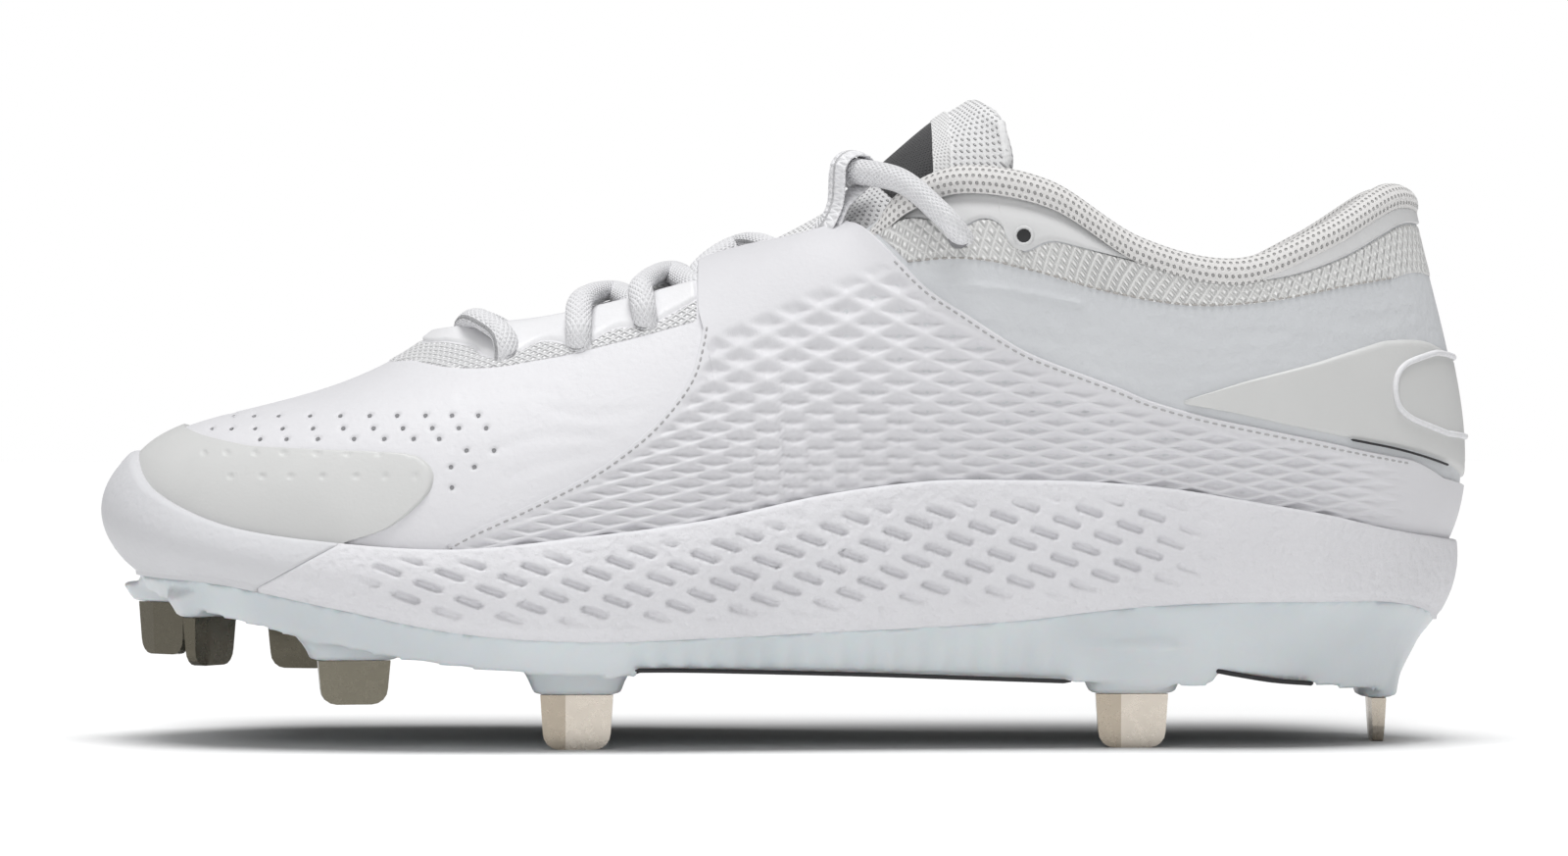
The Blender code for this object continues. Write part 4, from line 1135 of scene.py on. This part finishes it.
def tongue_strip(name, grid, n, rows, first_x, last_x, lift, mat):
    """A strip over the front of the tongue between two places along the shoe, border turned down."""
    middle = grid.shape[1] // 2
    count = 31
    points = []
    for r in np.linspace(*rows, 40):
        at = r / TONGUE_ROWS * (len(grid) - 1)
        k = min(int(at), len(grid) - 2)
        line = grid[k] * (1 - at + k) + grid[k + 1] * (at - k)
        lean = n[k]
        half = line[middle::-1, 0]
        first, last = (float(np.interp(x, half, np.arange(middle + 1))) for x in (first_x, last_x))
        spots = middle - np.linspace(last, first, count)
        points.append([[np.interp(spots, np.arange(grid.shape[1]), part[:, c]) for c in range(3)]
                       for part in (line, lean)])
    base = np.moveaxis(np.array([p[0] for p in points]), 1, -1)
    lean = np.moveaxis(np.array([p[1] for p in points]), 1, -1)
    raise_by = np.full(base.shape[:2], lift)
    border = -0.15
    raise_by[[0, -1]] = border
    raise_by[:, 0] = border
    if first_x > WHOLE_WIDTH:
        raise_by[:, -1] = border
    verts = base + lean * raise_by[..., None]
    side = np.stack([verts[..., 1], verts[..., 2] + verts[..., 0]], -1)
    faces = grid_faces(*base.shape[:2])
    both = np.concatenate([verts.reshape(-1, 3), mirrored(verts.reshape(-1, 3))])
    faces = np.concatenate([faces, (faces + base.shape[0] * base.shape[1])[:, ::-1]])
    return new_piece(name, both, faces, mat, np.concatenate([side.reshape(-1, 2)] * 2))


def dress_tongue(grid, n):
    label = weave_finish("label_weave", rgb(0.05, 0.05, 0.052), rgb(0.012, 0.012, 0.013), 0.75, 0.0003)
    tape = weave_finish("tape_weave", rgb(0.80, 0.80, 0.80), rgb(0.68, 0.68, 0.68), 0.8, 0.0003)
    tongue_strip("tongue_label", grid, n, (8.5, 10.03), WHOLE_WIDTH, 30.4, 0.4, label)
    tongue_strip("tongue_tape", grid, n, (8.9, 10.42), 30.2, 33.6, 0.65, tape)


def over_tongue(tongue, x, f, lift):
    grid, n = tongue
    ridge = grid[:, grid.shape[1] // 2, 0]
    r = int(np.clip(np.searchsorted(ridge, x), 0, len(ridge) - 1))
    c = int(round((f + 1) / 2 * (grid.shape[1] - 1)))
    return grid[r, c] + n[r, c] * lift


def mirrored(points):
    return np.asarray(points, float) * (1, -1, 1)


def lace(name, path, node, count=60):
    line = even_line(smooth_line(path, count), count)
    item = cord_along(name, line, LACE_RADIUS * 1.24, LACE, sides=16, flat=0.72)
    if node:
        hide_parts(node)


def lace_start(u, t):
    """Out of the eyelet and up towards the edge."""
    return [on_upper(u, t - 0.04, -1.9), on_upper(u, t - 0.012, 0.7), on_upper(u, t + 0.03, LACE_CLEAR)]


def build_laces(tongue):
    at = place(EYELETS)
    first = lace_start(*at[0])[:2]
    first += [on_upper(3.5, 0.875, LACE_CLEAR), on_upper(2.95, 0.965, LACE_CLEAR + 0.3)]
    path = first + [over_tongue(tongue, -65.0, 0.0, LACE_REST)] + list(mirrored(first[::-1]))
    lace("lace_bar_cord", path, "lace_bar", 80)
    for k in (1, 2, 3):
        u, t = at[k]
        reach = surface(u, 1.0)[0] + 7.5
        begin = lace_start(u, t) + [on_upper(u, 1.0, LACE_CLEAR - 0.3)]
        end = [over_tongue(tongue, reach, 0.3, LACE_REST - 0.6), over_tongue(tongue, reach + 3.5, 0.42, 0.0)]
        if k == 3:
            begin = [over_tongue(tongue, reach - 14.0, -0.34, 0.0),
                     over_tongue(tongue, reach - 12.0, -0.17, LACE_REST)]
            end = [over_tongue(tongue, reach + 1.0, 0.17, LACE_REST),
                   over_tongue(tongue, reach + 3.5, 0.34, 0.0)]
        path = begin + [over_tongue(tongue, reach - 3.6, 0.0, LACE_REST - 0.2)] + end
        lace("lace_cross_%d_cord" % k, path, "lace_cross_%d" % k)
        lace("lace_back_%d_cord" % k, mirrored(path), None)
    u, t = place([TOP_EYELET])[0]
    hold = np.array(LOOP_HOLD)
    first = [on_upper(u + 0.04, t - 0.03, -1.9), on_upper(u, t - 0.004, 0.9),
             on_upper(u - 0.13, t + 0.035, LACE_CLEAR)]
    first += [0.55 * first[2] + 0.45 * hold + outward(np.array(u)) * 1.6 + UP * 2.6, hold]
    path = first + [over_tongue(tongue, 15.0, 0.0, LACE_CLEAR + 2.4)] + list(mirrored(first[::-1]))
    lace("lace_top_cord", path, "lace_top", 110)
    build_loops(unit(first[3] - path[5]))


LOOP_HOLD = (14.0, -14.4, 115.4)
LOOP_FOOT = (7.46, 1.2)
LOOP_RISE = 3.5


def build_loops(ahead):
    """Webbing that leaves the strap, turns over the lace and comes back down behind itself."""
    hold = np.array(LOOP_HOLD)
    foot = on_upper(*LOOP_FOOT, 0.85)
    up = hold - foot
    low = np.linalg.norm(up) - 0.6
    up = unit(up - ahead * np.dot(up, ahead))
    side = np.cross(ahead, up)
    turn = np.radians(np.linspace(205, -25, 11))
    shape = [(-0.6, -low), (-0.75, -7.2)]
    shape += [(LOOP_RISE * math.cos(a), LOOP_RISE * math.sin(a)) for a in turn]
    shape += [(0.75, -7.2), (0.6, -low)]
    line = np.array([hold + side * a + up * b for a, b in shape])
    line = smooth_line(np.concatenate([[foot - up * 3.5], line, [foot - up * 3.5]]), 100)
    for name, path, lean in (("loop_outer", line, ahead), ("loop_inner", mirrored(line), mirrored(ahead))):
        item = cord_along(name + "_webbing", path, 0.58, LACE, sides=20, flat=6.2, lean=lean)
        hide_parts(name)


# Stitches, holes and trim
STITCH_EVERY = 1.75
STITCH_LONG = 1.15
STITCH_RADIUS = 0.22
STITCH_RINGS = np.array([(-0.5, 0.25), (-0.42, 0.8), (0.0, 1.0), (0.42, 0.8), (0.5, 0.25)])


def stitches(name, points, mat, lift):
    """A row of short raised stitches along an edge, on both sides of the shoe."""
    line = edge_line(points, 400, smooth=False)
    along = distances(surface(line[:, 0], line[:, 1]))
    a = np.linspace(0, 2 * math.pi, 6, endpoint=False)
    verts, faces = [], []
    for flipped in (False, True):
        for s in np.arange(0.6, along[-1] - 0.6, STITCH_EVERY):
            spot = s + STITCH_RINGS[:, 0] * STITCH_LONG
            u = np.interp(spot, along, line[:, 0])
            t = np.interp(spot, along, line[:, 1])
            if flipped:
                u = TURN - u
            n = normal(u, t)
            mid = surface(u, t) + n * (lift - 0.12 * (STITCH_RINGS[:, [0]] * 2) ** 2)
            ahead = unit(np.gradient(mid, axis=0))
            across = unit(np.cross(n, ahead))
            ring = across[:, None] * np.cos(a)[None, :, None] + n[:, None] * np.sin(a)[None, :, None] * 0.7
            start = sum(len(v) for v in verts)
            thick = (STITCH_RADIUS * STITCH_RINGS[:, 1])[:, None, None]
            verts.append((mid[:, None] + ring * thick).reshape(-1, 3))
            faces.append(grid_faces(5, 6, wrap=True, start=start))
    return new_piece(name, np.concatenate(verts), np.concatenate(faces), mat)


def inset_edge(points, by):
    """The same edge moved sideways in the picture."""
    line = smooth_line(points, 120)
    run = unit(np.gradient(line, axis=0))
    return line + np.stack([-run[:, 1], run[:, 0]], -1) * by


def build_stitches():
    stitches("saddle_front_stitches", inset_edge(SADDLE_FRONT[:9], 5), SEAM_THREAD, 1.02)
    stitches("saddle_back_stitches", inset_edge(SADDLE_BACK[2:], 5), SEAM_THREAD, 1.02)
    stitches("collar_stitches", inset_edge(COLLAR_KNURL, -2), DARK_THREAD, 0.3)


def round_spots(name, places, radius, lift, mat, ring=None):
    """Small round plugs on the upper, or rings when ring is the cord radius."""
    verts, faces = [], []
    sides = 14
    a = np.linspace(0, 2 * math.pi, sides, endpoint=False)
    for u, t in places:
        n = normal(u, t)
        across = unit(np.cross(n, UP))
        rise = np.cross(across, n)
        spot = surface(u, t) + n * lift
        circle = across[None] * np.cos(a)[:, None] + rise[None] * np.sin(a)[:, None]
        start = sum(len(v) for v in verts)
        if ring:
            b = np.linspace(0, 2 * math.pi, 8, endpoint=False)
            body = (spot + circle[None] * (radius + ring * np.cos(b))[:, None, None]
                    + n * (ring * np.sin(b))[:, None, None])
            body = np.concatenate([body, body[:1]])
        else:
            body = np.stack([spot + circle * radius, spot + circle * radius * 0.7 - n * 0.05,
                             spot + circle * 0.01 - n * 0.1])
        verts.append(body.reshape(-1, 3))
        faces.append(grid_faces(len(body), sides, wrap=True, start=start))
    return new_piece(name, np.concatenate(verts), np.concatenate(faces), mat)


def both_sides(ut):
    return np.concatenate([ut, other_side(ut)])


def build_holes():
    # Pinholes and lace holes are dark grey discs, and the spare eyelet a black one: painted shade inside the
    # holes.
    spots = place(dots(PERFORATIONS))
    round_spots("pinholes", both_sides(spots), 0.46, -0.16, HOLE_SHADE)
    used = both_sides(place(EYELETS[:3] + [TOP_EYELET]) - (0.0, 0.02))
    round_spots("lace_holes", used, 2.3, 0.66, HOLE_SHADE)
    spare = both_sides(place([SPARE_EYELET]))
    round_spots("spare_eyelet", spare, 1.6, 0.72, BLACK)
    round_spots("spare_eyelet_rim", spare, 1.75, 0.7, SILVER_FILM, ring=0.35)


# Stage: floor with a painted contact shadow, white paper behind, lights and camera
FLOOR_HALF = 9.0
PAPER_BACK = 8.9
PAPER_HALF = 1.75
SUNS = (("overhead", (6, -1, 0), 2.35, 32), ("front", (58, -20, 0), 0.55, 40))


def stage_sheet(name, corners, mat):
    mesh = bpy.data.meshes.new(name)
    mesh.from_pydata(corners, [], [(0, 1, 2, 3)])
    mesh.materials.append(mat)
    add_item(name, mesh)


def build_stage():
    m = Finish("floor", specular_ior_level=0.1)
    clean = m.blend(m.noise(3.0), rgb(0.95, 0.95, 0.95), rgb(0.97, 0.97, 0.97))
    # Painted contact shadow: the floor turns dark grey under the shoe, fading out along and across it.
    shadow_span = 1.0 - m.along().size().over(0.095, 0.143)
    under = 1.0 - (m.along(axis="Y") - 0.022).size().over(0.01, 0.085)
    m.color(m.blend(shadow_span * under, clean, rgb(0.24, 0.24, 0.24)))
    m.rough(0.9 + 0.05 * m.noise(20.0))
    r = FLOOR_HALF
    stage_sheet("floor", [(-r, -r, 0), (r, -r, 0), (r, r, 0), (-r, r, 0)], m.mat)
    paper = Finish("paper", emission_strength=1.0, specular_ior_level=0.0)
    paper.color(rgb(0.0, 0.0, 0.0))
    paper.shader.inputs["Emission Color"].default_value = rgb(1.0, 1.0, 1.0)
    x, y = PAPER_HALF, PAPER_BACK
    stage_sheet("backdrop", [(-x, y, -1), (x, y, -1), (x, y, 1.0), (-x, y, 1.0)], paper.mat)


def build_lights():
    world = bpy.data.worlds.new("studio")
    bpy.context.scene.world = world
    world.use_nodes = True
    sky = world.node_tree.nodes["Background"]
    sky.inputs["Color"].default_value = rgb(1.0, 1.0, 1.0)
    sky.inputs["Strength"].default_value = 0.3
    for name, turn, strength, soft in SUNS:
        light = bpy.data.lights.new(name, "SUN")
        light.energy = strength
        light.angle = math.radians(soft)
        add_item(name, light).rotation_euler = tuple(math.radians(d) for d in turn)


def build_camera():
    lens = bpy.data.cameras.new("camera")
    lens.sensor_width = 36.0
    lens.lens = FOCAL / 1600 * 36.0
    lens.clip_end = 50.0
    eye = add_item("camera", lens)
    eye.location = (0.0, -CAMERA_BACK * MM, CAMERA_RISE * MM)
    eye.rotation_euler = (math.pi / 2, 0.0, 0.0)
    bpy.context.scene.camera = eye
    bpy.context.scene.view_settings.view_transform = "Standard"


def dress_insole():
    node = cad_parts["insole"]
    node.data.materials.clear()
    node.data.materials.append(plain_finish("insole_cloth", rgb(0.62, 0.62, 0.64), 0.85, 700.0, 0.0003))


build_stage()
build_lights()
build_camera()
build_upper()
build_rim()
build_collar_roll()
build_saddle()
build_counter()
build_toe_cap()
build_foam()
build_plate()
build_spikes()
build_laces(build_tongue())
build_stitches()
build_holes()
dress_insole()
